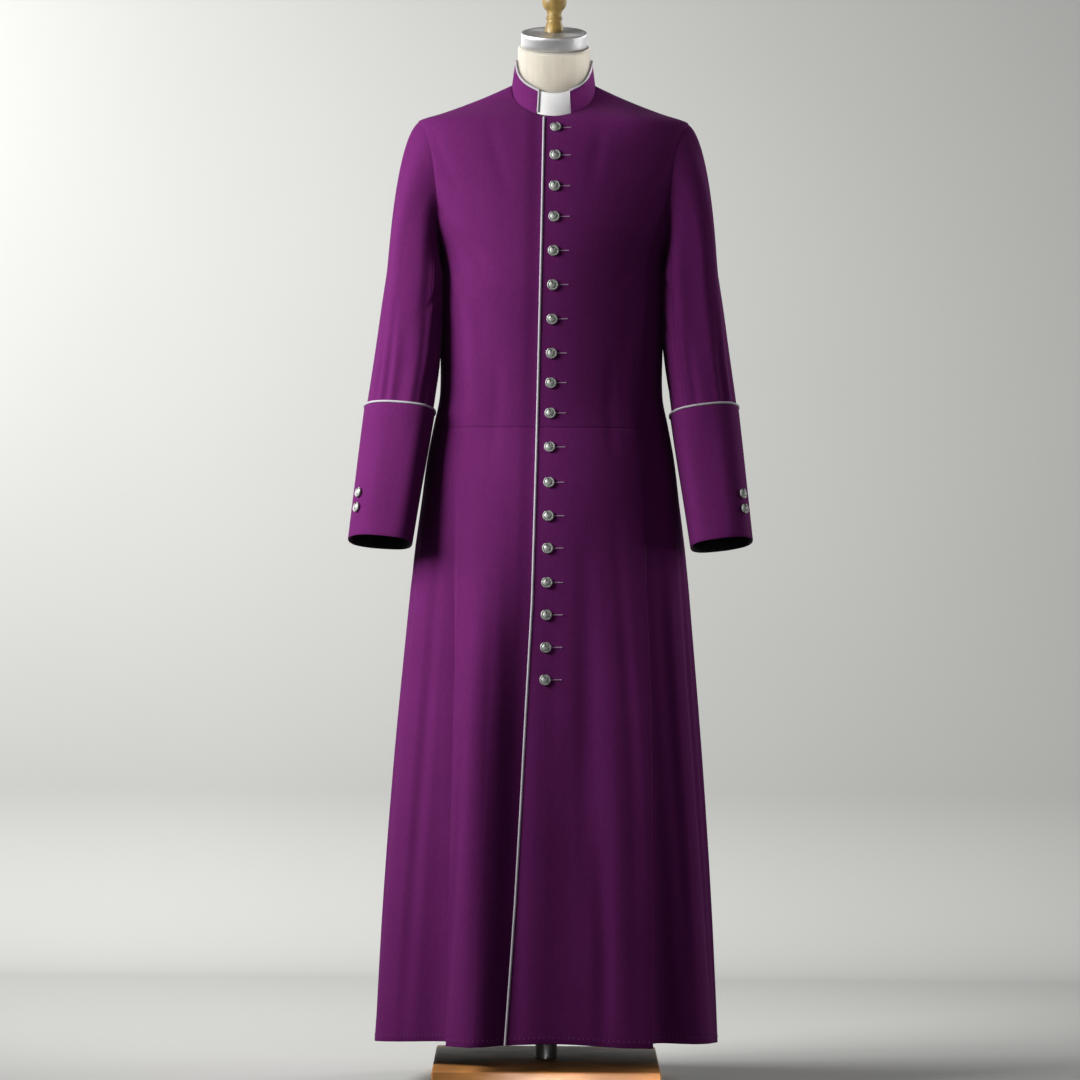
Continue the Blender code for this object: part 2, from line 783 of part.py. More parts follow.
def front_edge_piping(collection):
    """Piping beside the left front's edge, from the neck seam to the hem."""
    points = []
    steps = 44
    top = NECK_SEAM_FRONT - PIPING_TOP_GAP
    bottom = HEM_SIDE + HEM_RISE_FRONT + PIPING_HEM_GAP
    for step in range(steps + 1):
        height = top + (bottom - top) * step / steps
        turn = turn_at(linear(LAP, height).across, height)
        along_skin = body_point(turn - TURN_STEP, height) - body_point(turn + TURN_STEP, height)
        normal = outward(body_point, turn, height)
        offset = along_skin.normalized() * (PIPING_RADIUS + SEAT) + normal * SEAT
        points.append(body_point(turn, height) + offset + Vector((0.0, -SEAM / 2.0, 0.0)))
    return cord("front_edge_piping", points, collection)


# Collar -------------------------------------------------------------------------------------------

def collar_turns():
    """Turns round the band, at the same places as the bodice's columns at the neck seam."""
    left = neck_angles(LEFT_NECK_START, FRONT_COLUMNS_AT_NECK, True)
    right = neck_angles(RIGHT_NECK_START, FRONT_COLUMNS_AT_NECK, True)
    back = neck_angles(0.0, BACK_COLUMNS_AT_NECK, False)
    start = asin(COLLAR_LEFT_END / NECK_SEAM_HALF_WIDTH)
    end = 2.0 * pi + asin(COLLAR_RIGHT_END / NECK_SEAM_HALF_WIDTH)
    turns = left[:-1] + [pi - angle for angle in back[::-1]] + [pi + angle for angle in back[1:]]
    turns += [2.0 * pi - angle for angle in right[:-1][::-1]]
    return [start] + [turn for turn in turns if start + TURN_STEP < turn < end - TURN_STEP] + [end]


def collar_point(turn, up, inset=0.0):
    """The collar band's outer side; turn runs round from the front, up from 0 at its seam to 1."""
    across = NECK_SEAM_HALF_WIDTH * sin(turn)
    depth = NECK_SEAM_HALF_DEPTH * cos(turn)
    front = cos(turn) > 0.0
    round_neck = abs(atan2(sin(turn), abs(cos(turn))))
    seam_height = neck_place(round_neck, front)[1] + SEAM
    low = Vector((across, NECK_SEAM_MIDDLE - depth, seam_height))
    share = 0.5 - 0.5 * cos(turn)
    rise = COLLAR_HEIGHT_FRONT + (COLLAR_HEIGHT_BACK - COLLAR_HEIGHT_FRONT) * share
    high = Vector((
        COLLAR_TOP_HALF_WIDTH * sin(turn),
        COLLAR_TOP_MIDDLE - COLLAR_TOP_HALF_DEPTH * cos(turn),
        seam_height + rise,
    ))
    inward = Vector((sin(turn) / NECK_SEAM_HALF_WIDTH, -cos(turn) / NECK_SEAM_HALF_DEPTH, 0.0)).normalized()
    return low.lerp(high, up) - inward * inset


def collar_band(collection):
    turns = collar_turns()
    levels = (0.0, 0.5, 1.0)
    outer = [[collar_point(turn, up) for turn in turns] for up in levels]
    inner = [[collar_point(turn, up, CLOTH) for turn in turns] for up in levels]
    return wall("collar_band", outer, inner, "purple_cloth", collection)


def collar_tab(collection):
    """The insert, tucked behind the band's two ends."""
    start = asin((COLLAR_RIGHT_END - TAB_TUCK) / NECK_SEAM_HALF_WIDTH)
    end = asin((COLLAR_LEFT_END + TAB_TUCK) / NECK_SEAM_HALF_WIDTH)
    turns = [start + (end - start) * step / 8 for step in range(9)]
    levels = (0.03, 0.5, 0.97)
    behind = CLOTH + 2.0 * SEAT
    outer = [[collar_point(turn, up, behind) for turn in turns] for up in levels]
    inner = [[collar_point(turn, up, behind + TAB_THICKNESS) for turn in turns] for up in levels]
    return wall("collar_tab", outer, inner, "white_tab", collection)


def collar_piping(collection):
    """Piping along the band's top edge, then down its right front end."""
    turns = collar_turns()
    clear = PIPING_RADIUS + SEAT
    points = []
    for turn in turns:
        ahead, behind = collar_point(turn + TURN_STEP, 1.0), collar_point(turn - TURN_STEP, 1.0)
        along = (ahead - behind).normalized()
        above = (Vector((0.0, 0.0, 1.0)) - along * along.z).normalized()
        points.append(collar_point(turn, 1.0, CLOTH / 2.0) + above * clear)
    beside = clear / NECK_SEAM_HALF_WIDTH
    points.append(collar_point(turns[-1] + 0.85 * beside, 1.0, 0.0) + above * clear * 0.55)
    for up in (0.86, 0.55, 0.25, 0.09):
        points.append(collar_point(turns[-1] + 1.15 * beside, up, -0.0004))
    return cord("collar_piping", points, collection)


# Buttons ------------------------------------------------------------------------------------------


def button_mesh(radius, height):
    """A domed button with a raised rim, turned about its own axis."""
    profile = [
        (0.0, height * 0.94),
        (radius * 0.58, height * 0.80),
        (radius * 0.72, height * 0.66),
        (radius * 0.90, height * 0.72),
        (radius, height * 0.42),
        (radius * 0.80, 0.0),
        (0.0, 0.0),
    ]
    steps = 10
    shape = bmesh.new()
    points = [shape.verts.new((x, 0.0, z)) for x, z in profile]
    edges = [shape.edges.new(pair) for pair in zip(points, points[1:])]
    bmesh.ops.spin(
        shape, geom=points + edges, axis=(0.0, 0.0, 1.0), cent=(0.0, 0.0, 0.0), angle=2.0 * pi, steps=steps)
    bmesh.ops.remove_doubles(shape, verts=shape.verts, dist=0.00002)
    bmesh.ops.recalc_face_normals(shape, faces=shape.faces)
    data = bpy.data.meshes.new("button")
    shape.to_mesh(data)
    shape.free()
    data.shade_smooth()
    data.materials.append(material("silver_button"))
    return data


def button(name, mesh, point, normal, collection):
    thing = bpy.data.objects.new(name, mesh)
    collection.objects.link(thing)
    thing.matrix_world = Matrix.Translation(point) @ normal.to_track_quat("Z", "Y").to_matrix().to_4x4()
    return thing


def lap_row_heights():
    """The heights of the left fronts' rows at the button line, from the hem up."""
    skirt = [skirt_height(0.0, row) for row in range(SKIRT_ROWS, -1, -1)]
    rows = BODICE_ROWS_BELOW_ARMPIT + BODICE_ROWS_AT_ARMHOLE
    top = neck_place(LEFT_NECK_START, True)[1]
    return skirt + [WAIST_SEAM + (top - WAIST_SEAM) * row / rows for row in bodice_rows()]


def on_panel(turn, height):
    """The point and normal of the left fronts' own faces at a height, between two of their rows."""
    heights = lap_row_heights()
    above = next(i for i, row_height in enumerate(heights) if row_height >= height)
    low, high = body_point(turn, heights[above - 1]), body_point(turn, heights[above])
    point = low.lerp(high, (height - low.z) / (high.z - low.z))
    across = body_point(turn + 0.05, height) - body_point(turn - 0.05, height)
    return point, across.cross(high - low).normalized()


def front_buttons(collection):
    mesh = button_mesh(BUTTON_RADIUS, BUTTON_HEIGHT)
    longest = FRONT_BUTTON_DROPS[-1]
    for number, drop in enumerate(FRONT_BUTTON_DROPS, start=1):
        height = NECK_SEAM_FRONT - drop
        across = BUTTON_LINE_TOP + (BUTTON_LINE_BOTTOM - BUTTON_LINE_TOP) * drop / longest
        turn = turn_at(across, height)
        point, normal = on_panel(turn, height)
        point += normal * 1.5 * SEAT
        if height > WAIST_SEAM:
            point.y -= SEAM / 2.0
        button(f"front_button_{number:02d}", mesh, point, normal, collection)


def on_cuff_row(row, turn):
    """A point of the cuff's own faces on one of its rings, between two of its columns."""
    step = 2.0 * pi / SLEEVE_STEPS
    column = int(turn / step)
    start, end = ring_point(CUFF, row, column * step), ring_point(CUFF, row, (column + 1) * step)
    return start.lerp(end, turn / step - column)


def cuff_buttons(side, collection):
    label = "left" if side > 0 else "right"
    mesh = button_mesh(CUFF_BUTTON_RADIUS, BUTTON_HEIGHT)
    turn = radians(CUFF_BUTTON_TURN)
    for number, place in enumerate(CUFF_BUTTON_PLACES, start=1):
        along = place * (len(CUFF) - 1)
        row = min(int(along), len(CUFF) - 2)
        part = along - row
        low, high = on_cuff_row(row, turn), on_cuff_row(row + 1, turn)
        point = low.lerp(high, part)
        round_it = ring_point(CUFF, row, turn + 0.1) - ring_point(CUFF, row, turn - 0.1)
        normal = (high - low).cross(round_it).normalized()
        if normal.x < 0.0:
            normal = -normal
        point = point + normal * 1.5 * SEAT
        point.x *= side
        normal.x *= side
        button(f"cuff_button_{label}_{number}", mesh, point, normal, collection)


# Dress form ---------------------------------------------------------------------------------------

FORM_COLUMNS = 32
FORM_ROWS = 20


def form_point(turn, height):
    """The form's torso: the body moved in, and cut flat at its arm plates."""
    inset = linear(FORM_INSETS, height).inset
    point = plain_point(turn, height) - outward(plain_point, turn, height) * inset
    point.x = max(-ARM_PLATE, min(ARM_PLATE, point.x))
    return point


def form_torso(collection, cutters):
    """Torso and neck in one body, with the neck's top cut at a slant."""
    shape = bmesh.new()
    rows = []
    for row in range(FORM_ROWS + 1):
        part = row / FORM_ROWS
        height = FORM_BOTTOM + (FORM_TOP - FORM_BOTTOM) * (1.0 - (1.0 - part) ** 1.5)
        turns = [2.0 * pi * step / FORM_COLUMNS for step in range(FORM_COLUMNS)]
        points = [form_point(turn, height) for turn in turns]
        if row == 0:
            for point in points:
                point.z = FORM_BOTTOM
        rows.append([shape.verts.new(point) for point in points])
    for low, high in zip(rows, rows[1:]):
        for column in range(FORM_COLUMNS):
            after = (column + 1) % FORM_COLUMNS
            shape.faces.new((low[column], low[after], high[after], high[column]))
    shape.faces.new(rows[0][::-1])
    shape.faces.new(rows[-1])
    bmesh.ops.recalc_face_normals(shape, faces=shape.faces)
    data = bpy.data.meshes.new("form_torso")
    shape.to_mesh(data)
    shape.free()
    torso = bpy.data.objects.new("form_torso", data)
    collection.objects.link(torso)
    data.materials.append(material("linen"))

    bpy.ops.mesh.primitive_cylinder_add(
        vertices=FORM_COLUMNS, radius=1.0, depth=NECK_TOP + NECK_SPARE - NECK_ROOT,
        location=(0.0, 0.0, (NECK_TOP + NECK_SPARE + NECK_ROOT) / 2.0))
    neck = bpy.context.object
    neck.name = "neck_tool"
    neck.scale = (NECK_HALF_WIDTH, NECK_HALF_DEPTH, 1.0)
    bpy.ops.mesh.primitive_cube_add(size=0.3, location=(0.0, 0.0, NECK_TOP + 0.15 / cos(NECK_TILT)))
    top = bpy.context.object
    top.name = "neck_cut_tool"
    top.rotation_euler = (NECK_TILT, 0.0, 0.0)
    for tool, operation in ((neck, "UNION"), (top, "DIFFERENCE")):
        as_tool(tool, cutters)
        change = torso.modifiers.new(operation.lower(), "BOOLEAN")
        change.operation = operation
        change.object = tool
    return torso


def as_tool(thing, cutters):
    for other in list(thing.users_collection):
        other.objects.unlink(thing)
    cutters.objects.link(thing)
    thing.hide_render = True
    thing.display_type = "WIRE"


def neck_cap(collection):
    """The metal plate on the neck, square to the slanted cut."""
    normal = Vector((0.0, -sin(NECK_TILT), cos(NECK_TILT)))
    middle = Vector((0.0, 0.0, NECK_TOP)) + normal * (SEAT + CAP_THICKNESS / 2.0)
    bpy.ops.mesh.primitive_cylinder_add(
        vertices=CAP_SIDES, radius=CAP_RADIUS, depth=CAP_THICKNESS, location=middle,
        rotation=(NECK_TILT, 0.0, 0.0))
    cap = bpy.context.object
    cap.name = "neck_cap"
    edge = cap.modifiers.new("rounded edges", "BEVEL")
    edge.width = CAP_EDGE
    edge.segments = 2
    edge.limit_method = "ANGLE"
    return finish(cap, "brushed_metal", collection)


def finial(collection, cutters):
    """A turned wooden finial, its foot cut to the plate's slant."""
    plate_top = NECK_TOP + (SEAT * 2.0 + CAP_THICKNESS) / cos(NECK_TILT)
    profile = [  # radius, height above the plate's middle
        (0.0000, 0.0960), (0.0060, 0.0935), (0.0085, 0.0890), (0.0070, 0.0850), (0.0130, 0.0790),
        (0.0180, 0.0670), (0.0185, 0.0560), (0.0160, 0.0440), (0.0120, 0.0350), (0.0118, 0.0290),
        (0.0130, 0.0265), (0.0130, 0.0225), (0.0112, 0.0205), (0.0118, 0.0130), (0.0130, 0.0080),
        (0.0146, 0.0030), (0.0146, -0.0100), (0.0000, -0.0100),
    ]
    data = bpy.data.meshes.new("finial")
    points = [(radius, 0.0, height) for radius, height in profile]
    data.from_pydata(points, [(i, i + 1) for i in range(len(points) - 1)], [])
    thing = bpy.data.objects.new("finial", data)
    collection.objects.link(thing)
    thing.location = (0.0, 0.0, plate_top)
    turned = thing.modifiers.new("turned", "SCREW")
    turned.steps = 18
    turned.render_steps = 18
    turned.use_merge_vertices = True
    turned.merge_threshold = 0.00005
    turned.use_normal_calculate = True
    bpy.ops.mesh.primitive_cube_add(size=0.1, location=(0.0, 0.0, plate_top - 0.05 / cos(NECK_TILT)))
    foot = bpy.context.object
    foot.name = "finial_foot_tool"
    foot.rotation_euler = (NECK_TILT, 0.0, 0.0)
    as_tool(foot, cutters)
    cut = thing.modifiers.new("foot cut", "BOOLEAN")
    cut.operation = "DIFFERENCE"
    cut.object = foot
    return finish(thing, "turned_wood", collection)


def pole(collection):
    bottom, top = BASE_HEIGHT + SEAT, FORM_BOTTOM - SEAT
    bpy.ops.mesh.primitive_cylinder_add(
        vertices=24, radius=POLE_RADIUS, depth=top - bottom, location=(0.0, 0.0, (top + bottom) / 2.0))
    thing = bpy.context.object
    thing.name = "pole"
    return finish(thing, "dark_pole", collection)


def base(collection):
    bpy.ops.mesh.primitive_cube_add(size=1.0, location=(0.0, 0.0, BASE_HEIGHT / 2.0))
    thing = bpy.context.object
    thing.name = "base"
    thing.scale = (BASE_SIDE, BASE_SIDE, BASE_HEIGHT)
    bpy.ops.object.transform_apply(location=False, rotation=False, scale=True)
    edge = thing.modifiers.new("eased edges", "BEVEL")
    edge.width = BASE_EDGE
    edge.segments = 2
    return finish(thing, "base_wood", collection)


def main():
    clear_scene()
    collection = new_collection("cassock on a dress form")
    cutters = new_collection("tools")
    for side in (1, -1):
        bodice_front(side, collection)
        skirt_front(side, collection)
        skirt_side(side, collection)
        sleeve(side, collection)
        cuff(side, collection)
        cuff_piping(side, collection)
        cuff_buttons(side, collection)
    bodice_back(collection)
    skirt_back(collection)
    collar_band(collection)
    collar_tab(collection)
    collar_piping(collection)
    front_edge_piping(collection)
    front_buttons(collection)
    form_torso(collection, cutters)
    neck_cap(collection)
    finial(collection, cutters)
    pole(collection)
    base(collection)


main()
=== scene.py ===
"""A purple cassock on a limbless dress form: cloth shells, trims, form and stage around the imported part.

Metres, +Z up, the front faces -Y. Left and right in the names are the wearer's.
"""

from collections import namedtuple
from functools import partial
from math import asin, cos, pi, radians, sin

import bmesh
import bpy
import numpy as np
from bpy.props import FloatProperty, FloatVectorProperty, IntProperty, PointerProperty
from bpy.types import Operator, Panel, PropertyGroup
from mathutils import Matrix, Vector


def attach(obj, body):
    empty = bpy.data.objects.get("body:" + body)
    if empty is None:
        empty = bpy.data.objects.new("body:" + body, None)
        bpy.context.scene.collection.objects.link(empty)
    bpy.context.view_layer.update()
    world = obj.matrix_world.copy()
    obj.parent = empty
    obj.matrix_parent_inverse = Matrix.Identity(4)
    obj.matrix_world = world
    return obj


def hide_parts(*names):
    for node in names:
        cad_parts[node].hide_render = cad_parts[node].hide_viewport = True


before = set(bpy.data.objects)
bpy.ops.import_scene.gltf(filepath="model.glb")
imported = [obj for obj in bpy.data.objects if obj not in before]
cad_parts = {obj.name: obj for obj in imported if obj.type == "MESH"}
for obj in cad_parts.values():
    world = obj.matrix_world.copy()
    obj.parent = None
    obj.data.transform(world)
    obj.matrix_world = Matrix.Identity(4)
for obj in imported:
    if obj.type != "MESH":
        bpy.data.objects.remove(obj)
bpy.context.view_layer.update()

bl_info = {
    "name": "Cassock on a dress form",
    "version": (1, 0, 0),
    "blender": (4, 5, 0),
    "location": "View3D > Sidebar > Cassock",
    "description": "Builds a tailored cassock, its trims and the dress form that wears it",
    "category": "Add Mesh",
}

SIDES = ((1, "left"), (-1, "right"))

# Sizes shared with the solids ----------------------------------------------------------------------


def table(kind, rows):
    """Rows of numbers as rows of named values."""
    return [kind(*row) for row in rows]


SEAT = 0.0004
SOLID_SEAM = -0.0002
SEAM = 0.0003
ARMHOLE_SEAM = -0.0020
HEM_SIDE = 0.066
HEM_RISE_FRONT = 0.015
HEM_LIFT = 0.0050
HEM_LIFT_TURN = 1.0
HEM_LIFT_SPREAD = 25.0
WAIST_SEAM = 1.0325
ARMPIT = 1.305
SHOULDER_POINT = 1.517
NECK_TOP = 1.636

# Body of the garment: ellipses, the front and the back half each with its own depth
Section = namedtuple("Section", "height half_width front_depth back_depth")
BODY = table(Section, [
    (0.06, 0.27, 0.192, 0.236), (0.3, 0.255, 0.181, 0.217), (0.51, 0.24, 0.171, 0.196),
    (0.7, 0.225, 0.159, 0.172), (0.825, 0.215, 0.15, 0.153), (0.92, 0.203, 0.14, 0.135),
    (0.983, 0.195, 0.13, 0.12), (1.033, 0.185, 0.119, 0.107), (1.085, 0.1745, 0.116, 0.103),
    (1.17, 0.175, 0.119, 0.108), (1.25, 0.178, 0.124, 0.116), (1.305, 0.18, 0.126, 0.121),
    (1.35, 0.2, 0.124, 0.123), (1.394, 0.215, 0.119, 0.122), (1.433, 0.226, 0.111, 0.12),
    (1.473, 0.227, 0.099, 0.114), (1.5, 0.221, 0.084, 0.105), (1.517, 0.213, 0.072, 0.098),
    (1.53, 0.174, 0.057, 0.092), (1.545, 0.134, 0.036, 0.085), (1.56, 0.098, 0.019, 0.08),
    (1.576, 0.064, 0.008, 0.075), (1.592, 0.035, 0.004, 0.066),
])
ARMHOLE_HALF_DEPTH_FRONT = 0.064
ARMHOLE_HALF_DEPTH_BACK = 0.060

# Neck seam and stand collar: ellipses round the neck
NECK_SEAM_HALF_WIDTH = 0.0660
NECK_SEAM_HALF_DEPTH = 0.0710
NECK_SEAM_MIDDLE = 0.0030
NECK_SEAM_LOWEST = 1.480
NECK_SEAM_HIGHEST = 1.590
COLLAR_TOP_HALF_WIDTH = 0.0610
COLLAR_TOP_HALF_DEPTH = 0.0640
COLLAR_TOP_MIDDLE = -0.0010
COLLAR_HEIGHT_FRONT = 0.0355
COLLAR_HEIGHT_BACK = 0.0400
COLLAR_RIGHT_END = -0.0270
COLLAR_LEFT_END = 0.0285
TAB_TUCK = 0.0060
TAB_THICKNESS = 0.0012
TAB_BEND = 0.030
TAB_SPAN = (0.03, 1.05)
COLLAR_TUCK = 0.0015

# Front lap: the left front's edge as x at a height, and how far the right front goes under it
LapPoint = namedtuple("LapPoint", "height across")
LAP = table(LapPoint, [
    (0.06, -0.057), (0.3, -0.044), (0.45, -0.0375), (0.61, -0.031), (0.76, -0.0245), (1.07, -0.019),
    (1.33, -0.015), (1.5, -0.013), (1.6, -0.012),
])
UNDERLAP = 0.0200
LAP_BLEND = 0.0320
LAP_FLAT = 0.0060

# Skirt: a front that steps forward of the sides at a folded pleat edge, and soft flutes
PLEAT_START = 0.985
PLEAT_EDGE = 0.1450
PLEAT_RETURN = 0.0080
PLEAT_FOOT = 0.0040
PLEAT_STEP = 0.0340
LAP_VALLEY = 0.0185
LAP_VALLEY_WIDTH = 0.0600
LAP_VALLEY_START = 0.960
LAP_VALLEY_FULL = 0.480
PLEAT_LEAD = 0.012
FOLD_GROWTH = 1.1
SIDE_BACK_SEAM = 104.0
Flute = namedtuple("Flute", "middle rise half_width")
FRONT_FLUTES = table(Flute, [  # middle and half width in metres across the front
    (-0.099, 0.0185, 0.061), (-0.028, 0.0035, 0.04), (0.16, 0.022, 0.115),
])
FLUTE_START = 0.930
FLUTE_FULL = 0.560
ROUND_FLUTES = table(Flute, [  # middle and half width in degrees round from the front
    (-42, -0.028, 22), (-72, 0.011, 13), (45, -0.023, 13), (64, 0.006, 15), (101, -0.006, 15),
    (-101, -0.006, 15), (124, 0.013, 15), (-126, 0.012, 15), (149, -0.009, 12), (-149, -0.01, 12),
    (168, 0.011, 11), (-168, 0.012, 11), (180, -0.01, 8),
])

# Sleeve below the cap and cuff: rings square to the arm's line, for the wearer's left arm
Ring = namedtuple("Ring", "across forward height half_width half_depth")
SLEEVE = table(Ring, [
    (0.2225, 0.004, 1.27, 0.0395, 0.072), (0.2265, 0.007, 1.215, 0.0435, 0.069),
    (0.23, 0.012, 1.165, 0.0465, 0.0655), (0.2345, 0.018, 1.115, 0.049, 0.0615),
    (0.24, 0.026, 1.072, 0.0497, 0.0561), (0.2438, 0.031, 1.045, 0.0495, 0.0555),
])
CUFF = table(Ring, [
    (0.242, 0.0285, 1.058, 0.0532, 0.0592), (0.2505, 0.041, 0.993, 0.052, 0.0585),
    (0.2595, 0.0545, 0.925, 0.0502, 0.0572), (0.269, 0.069, 0.852, 0.0485, 0.056),
])
UNDER_SLEEVE_TURN = 54.0
CAP_RISE = 0.150
CAP_REACH = 0.030
CAP_LEAST_REACH = 0.12
CAP_LEAST_RISE = 0.012
CAP_DROP = 0.004
CAP_POWER = 1.3
SLEEVE_RADIUS = 0.055
SLEEVE_SQUARE = 0.68
CUFF_SQUARE = 0.80
SLEEVE_END_SQUARE = CUFF_SQUARE + 0.06
RIGHT_SLEEVE_SKEW = 0.34
LEFT_SLEEVE_SKEW = 0.03

# How much wider the sleeves' inner halves lie towards the body, at a height
SleeveFill = namedtuple("SleeveFill", "height left right")
SLEEVE_FILLS = table(SleeveFill, [
    (0.85, 0.002, 0.006), (0.98, 0.002, 0.006), (1.1, 0.002, 0.007), (1.18, 0.01, 0.011),
    (1.27, 0.012, 0.013), (1.4, 0.006, 0.006),
])

# Buttons
FRONT_BUTTON_DROPS = [  # below the neck seam's front, one for each button
    0.020, 0.065, 0.114, 0.162, 0.215, 0.268, 0.321, 0.374, 0.420,
    0.467, 0.520, 0.575, 0.627, 0.677, 0.730, 0.780, 0.830, 0.880,
]
NECK_SEAM_FRONT = 1.5215
BUTTON_LINE_TOP = 0.0035
BUTTON_LINE_BOTTOM = -0.0065
CUFF_BUTTON_TURN = 44.0
CUFF_BUTTON_STEP = 0.05
CUFF_BUTTON_PLACES = (0.70, 0.81)

# Dress form
FormInset = namedtuple("FormInset", "height inset")
FORM_INSETS = table(FormInset, [
    (0.88, 0.034), (1.033, 0.014), (1.12, 0.009), (1.3, 0.009), (1.44, 0.0075), (1.5, 0.0073),
    (1.6, 0.0076),
])
FORM_BOTTOM = 0.880
FORM_TOP = 1.558
FORM_ROWS = 61
FORM_COLUMNS = 96
FORM_CROWDING = 1.5
ARM_PLATE = 0.1740
NECK_HALF_WIDTH = 0.0570
NECK_HALF_DEPTH = 0.0580
NECK_ROOT = 1.480
NECK_SPARE = 0.060
NECK_EDGE = 0.0036
NECK_TILT = radians(17.0)
PLATE_NORMAL = (0.0, -sin(NECK_TILT), cos(NECK_TILT))
CAP_THICKNESS = 0.0232
POLE_EDGE = 0.0012

# Creases -------------------------------------------------------------------------------------------

# A soft trough (depth below 0) or ridge, from one place to another. On the body, turns are degrees
# round from the front and places are heights; on a sleeve or cuff, turns are degrees from its outer
# side to its front and places run from 0 at its top to 1 at its end.
Crease = namedtuple("Crease", "turn start to_turn end depth width")
BODY_CREASES = table(Crease, [
    # chest and shoulders
    (66, 1.395, 34, 1.245, -0.0024, 0.02), (-64, 1.4, -33, 1.255, -0.0026, 0.021),
    (73, 1.345, 47, 1.195, 0.0018, 0.017), (-71, 1.35, -45, 1.185, 0.002, 0.018),
    (60, 1.505, 43, 1.4, -0.0016, 0.016), (-58, 1.505, -41, 1.39, -0.0018, 0.015),
    (21, 1.518, 15, 1.405, -0.001, 0.01), (-27, 1.52, -19, 1.39, -0.0012, 0.011),
    # waist, above and below its seam
    (50, 1.235, 44, 1.005, 0.0022, 0.023), (-47, 1.25, -42, 1.0, 0.0024, 0.024),
    (33, 1.15, 30, 0.985, -0.0014, 0.014), (-31, 1.16, -27, 0.975, -0.0015, 0.015),
    (76, 1.19, 71, 0.965, -0.0022, 0.019), (-77, 1.2, -73, 0.955, -0.002, 0.018),
    (96, 1.255, 92, 0.985, 0.0016, 0.016), (-95, 1.245, -91, 0.99, 0.0017, 0.017),
    # back of the bodice
    (116, 1.4, 140, 1.25, -0.0024, 0.02), (-114, 1.405, -139, 1.24, -0.0026, 0.021),
    (131, 1.26, 137, 0.99, 0.0024, 0.022), (-133, 1.25, -138, 0.995, 0.0022, 0.022),
    (158, 1.21, 161, 0.98, -0.0016, 0.016), (-156, 1.22, -160, 0.97, -0.0017, 0.017),
    (163, 1.515, 157, 1.39, -0.0012, 0.013), (-164, 1.515, -157, 1.38, -0.0013, 0.012),
    (124, 1.5, 138, 1.4, -0.0016, 0.016), (-122, 1.5, -137, 1.395, -0.0015, 0.017),
    # skirt front, wearer's right, then left
    (-41, 0.93, -33, 0.02, -0.0026, 0.026), (-27.5, 0.82, -25.5, 0.02, 0.003, 0.022),
    (-20.5, 0.7, -19, 0.18, -0.0018, 0.015), (-31, 0.56, -31.5, 0.03, -0.0022, 0.013),
    (9, 0.6, 5, 0.02, -0.0024, 0.03), (14.5, 0.89, 14, 0.24, -0.0016, 0.02),
    (23, 0.76, 22.5, 0.02, 0.0026, 0.024), (29.5, 0.9, 29, 0.3, -0.0014, 0.014),
    (18, 0.4, 16.5, 0.01, -0.0016, 0.016),
    # skirt sides
    (54, 0.93, 56, 0.01, -0.005, 0.022), (72, 0.9, 74, 0.12, -0.004, 0.02),
    (84, 0.82, 87, 0.01, 0.004, 0.024), (97, 0.72, 99, 0.01, -0.0034, 0.019),
    (-56, 0.94, -57, 0.01, -0.0044, 0.022), (-76, 0.88, -79, 0.15, -0.0038, 0.021),
    (-88, 0.8, -90, 0.01, 0.0044, 0.023), (-98, 0.66, -99, 0.01, -0.003, 0.018),
    # skirt back
    (113, 0.96, 114, 0.01, -0.0044, 0.022), (134, 0.86, 136, 0.01, -0.004, 0.02),
    (142, 0.64, 142, 0.01, 0.0036, 0.021), (158, 0.94, 158.5, 0.08, -0.0042, 0.021),
    (174, 0.74, 174, 0.01, 0.0034, 0.018), (-113, 0.95, -115, 0.01, -0.004, 0.021),
    (-136, 0.88, -137, 0.01, -0.0044, 0.022), (-143, 0.56, -142, 0.01, 0.0034, 0.019),
    (-159, 0.93, -158, 0.06, -0.0038, 0.02), (-173, 0.7, -174, 0.01, 0.0032, 0.017),
])
RIGHT_SLEEVE_CREASES = table(Crease, [
    (0.0, 0.0, 4, 0.46, -0.0085, 0.075), (60, 0.1, 66, 0.8, 0.0022, 0.02),
    (118, 0.22, 112, 0.84, -0.0026, 0.017), (52, 0.6, 50, 1.15, -0.0018, 0.008),
    (73, 0.52, 72, 1.18, -0.002, 0.009), (62, 0.66, 61, 1.15, 0.0016, 0.008),
    (91, 0.64, 90, 1.12, -0.0018, 0.009), (82, 0.6, 81, 1.15, 0.0018, 0.009),
    (108, 0.58, 107, 1.16, 0.002, 0.01), (139, 0.5, 134, 1.1, -0.0024, 0.012),
    (160, 0.46, 118, 0.58, -0.0022, 0.012), (172, 0.55, 128, 0.69, -0.002, 0.011),
    (22, 0.4, 26, 1.05, -0.0016, 0.014), (-24, 0.3, -20, 1.1, 0.0018, 0.015),
    (-52, 0.36, -48, 1.14, -0.0022, 0.013), (-84, 0.2, -80, 0.86, -0.0024, 0.016),
    (-112, 0.48, -104, 1.12, 0.002, 0.013), (-146, 0.44, -110, 0.6, -0.0022, 0.012),
    (-164, 0.56, -124, 0.68, -0.002, 0.011),
])
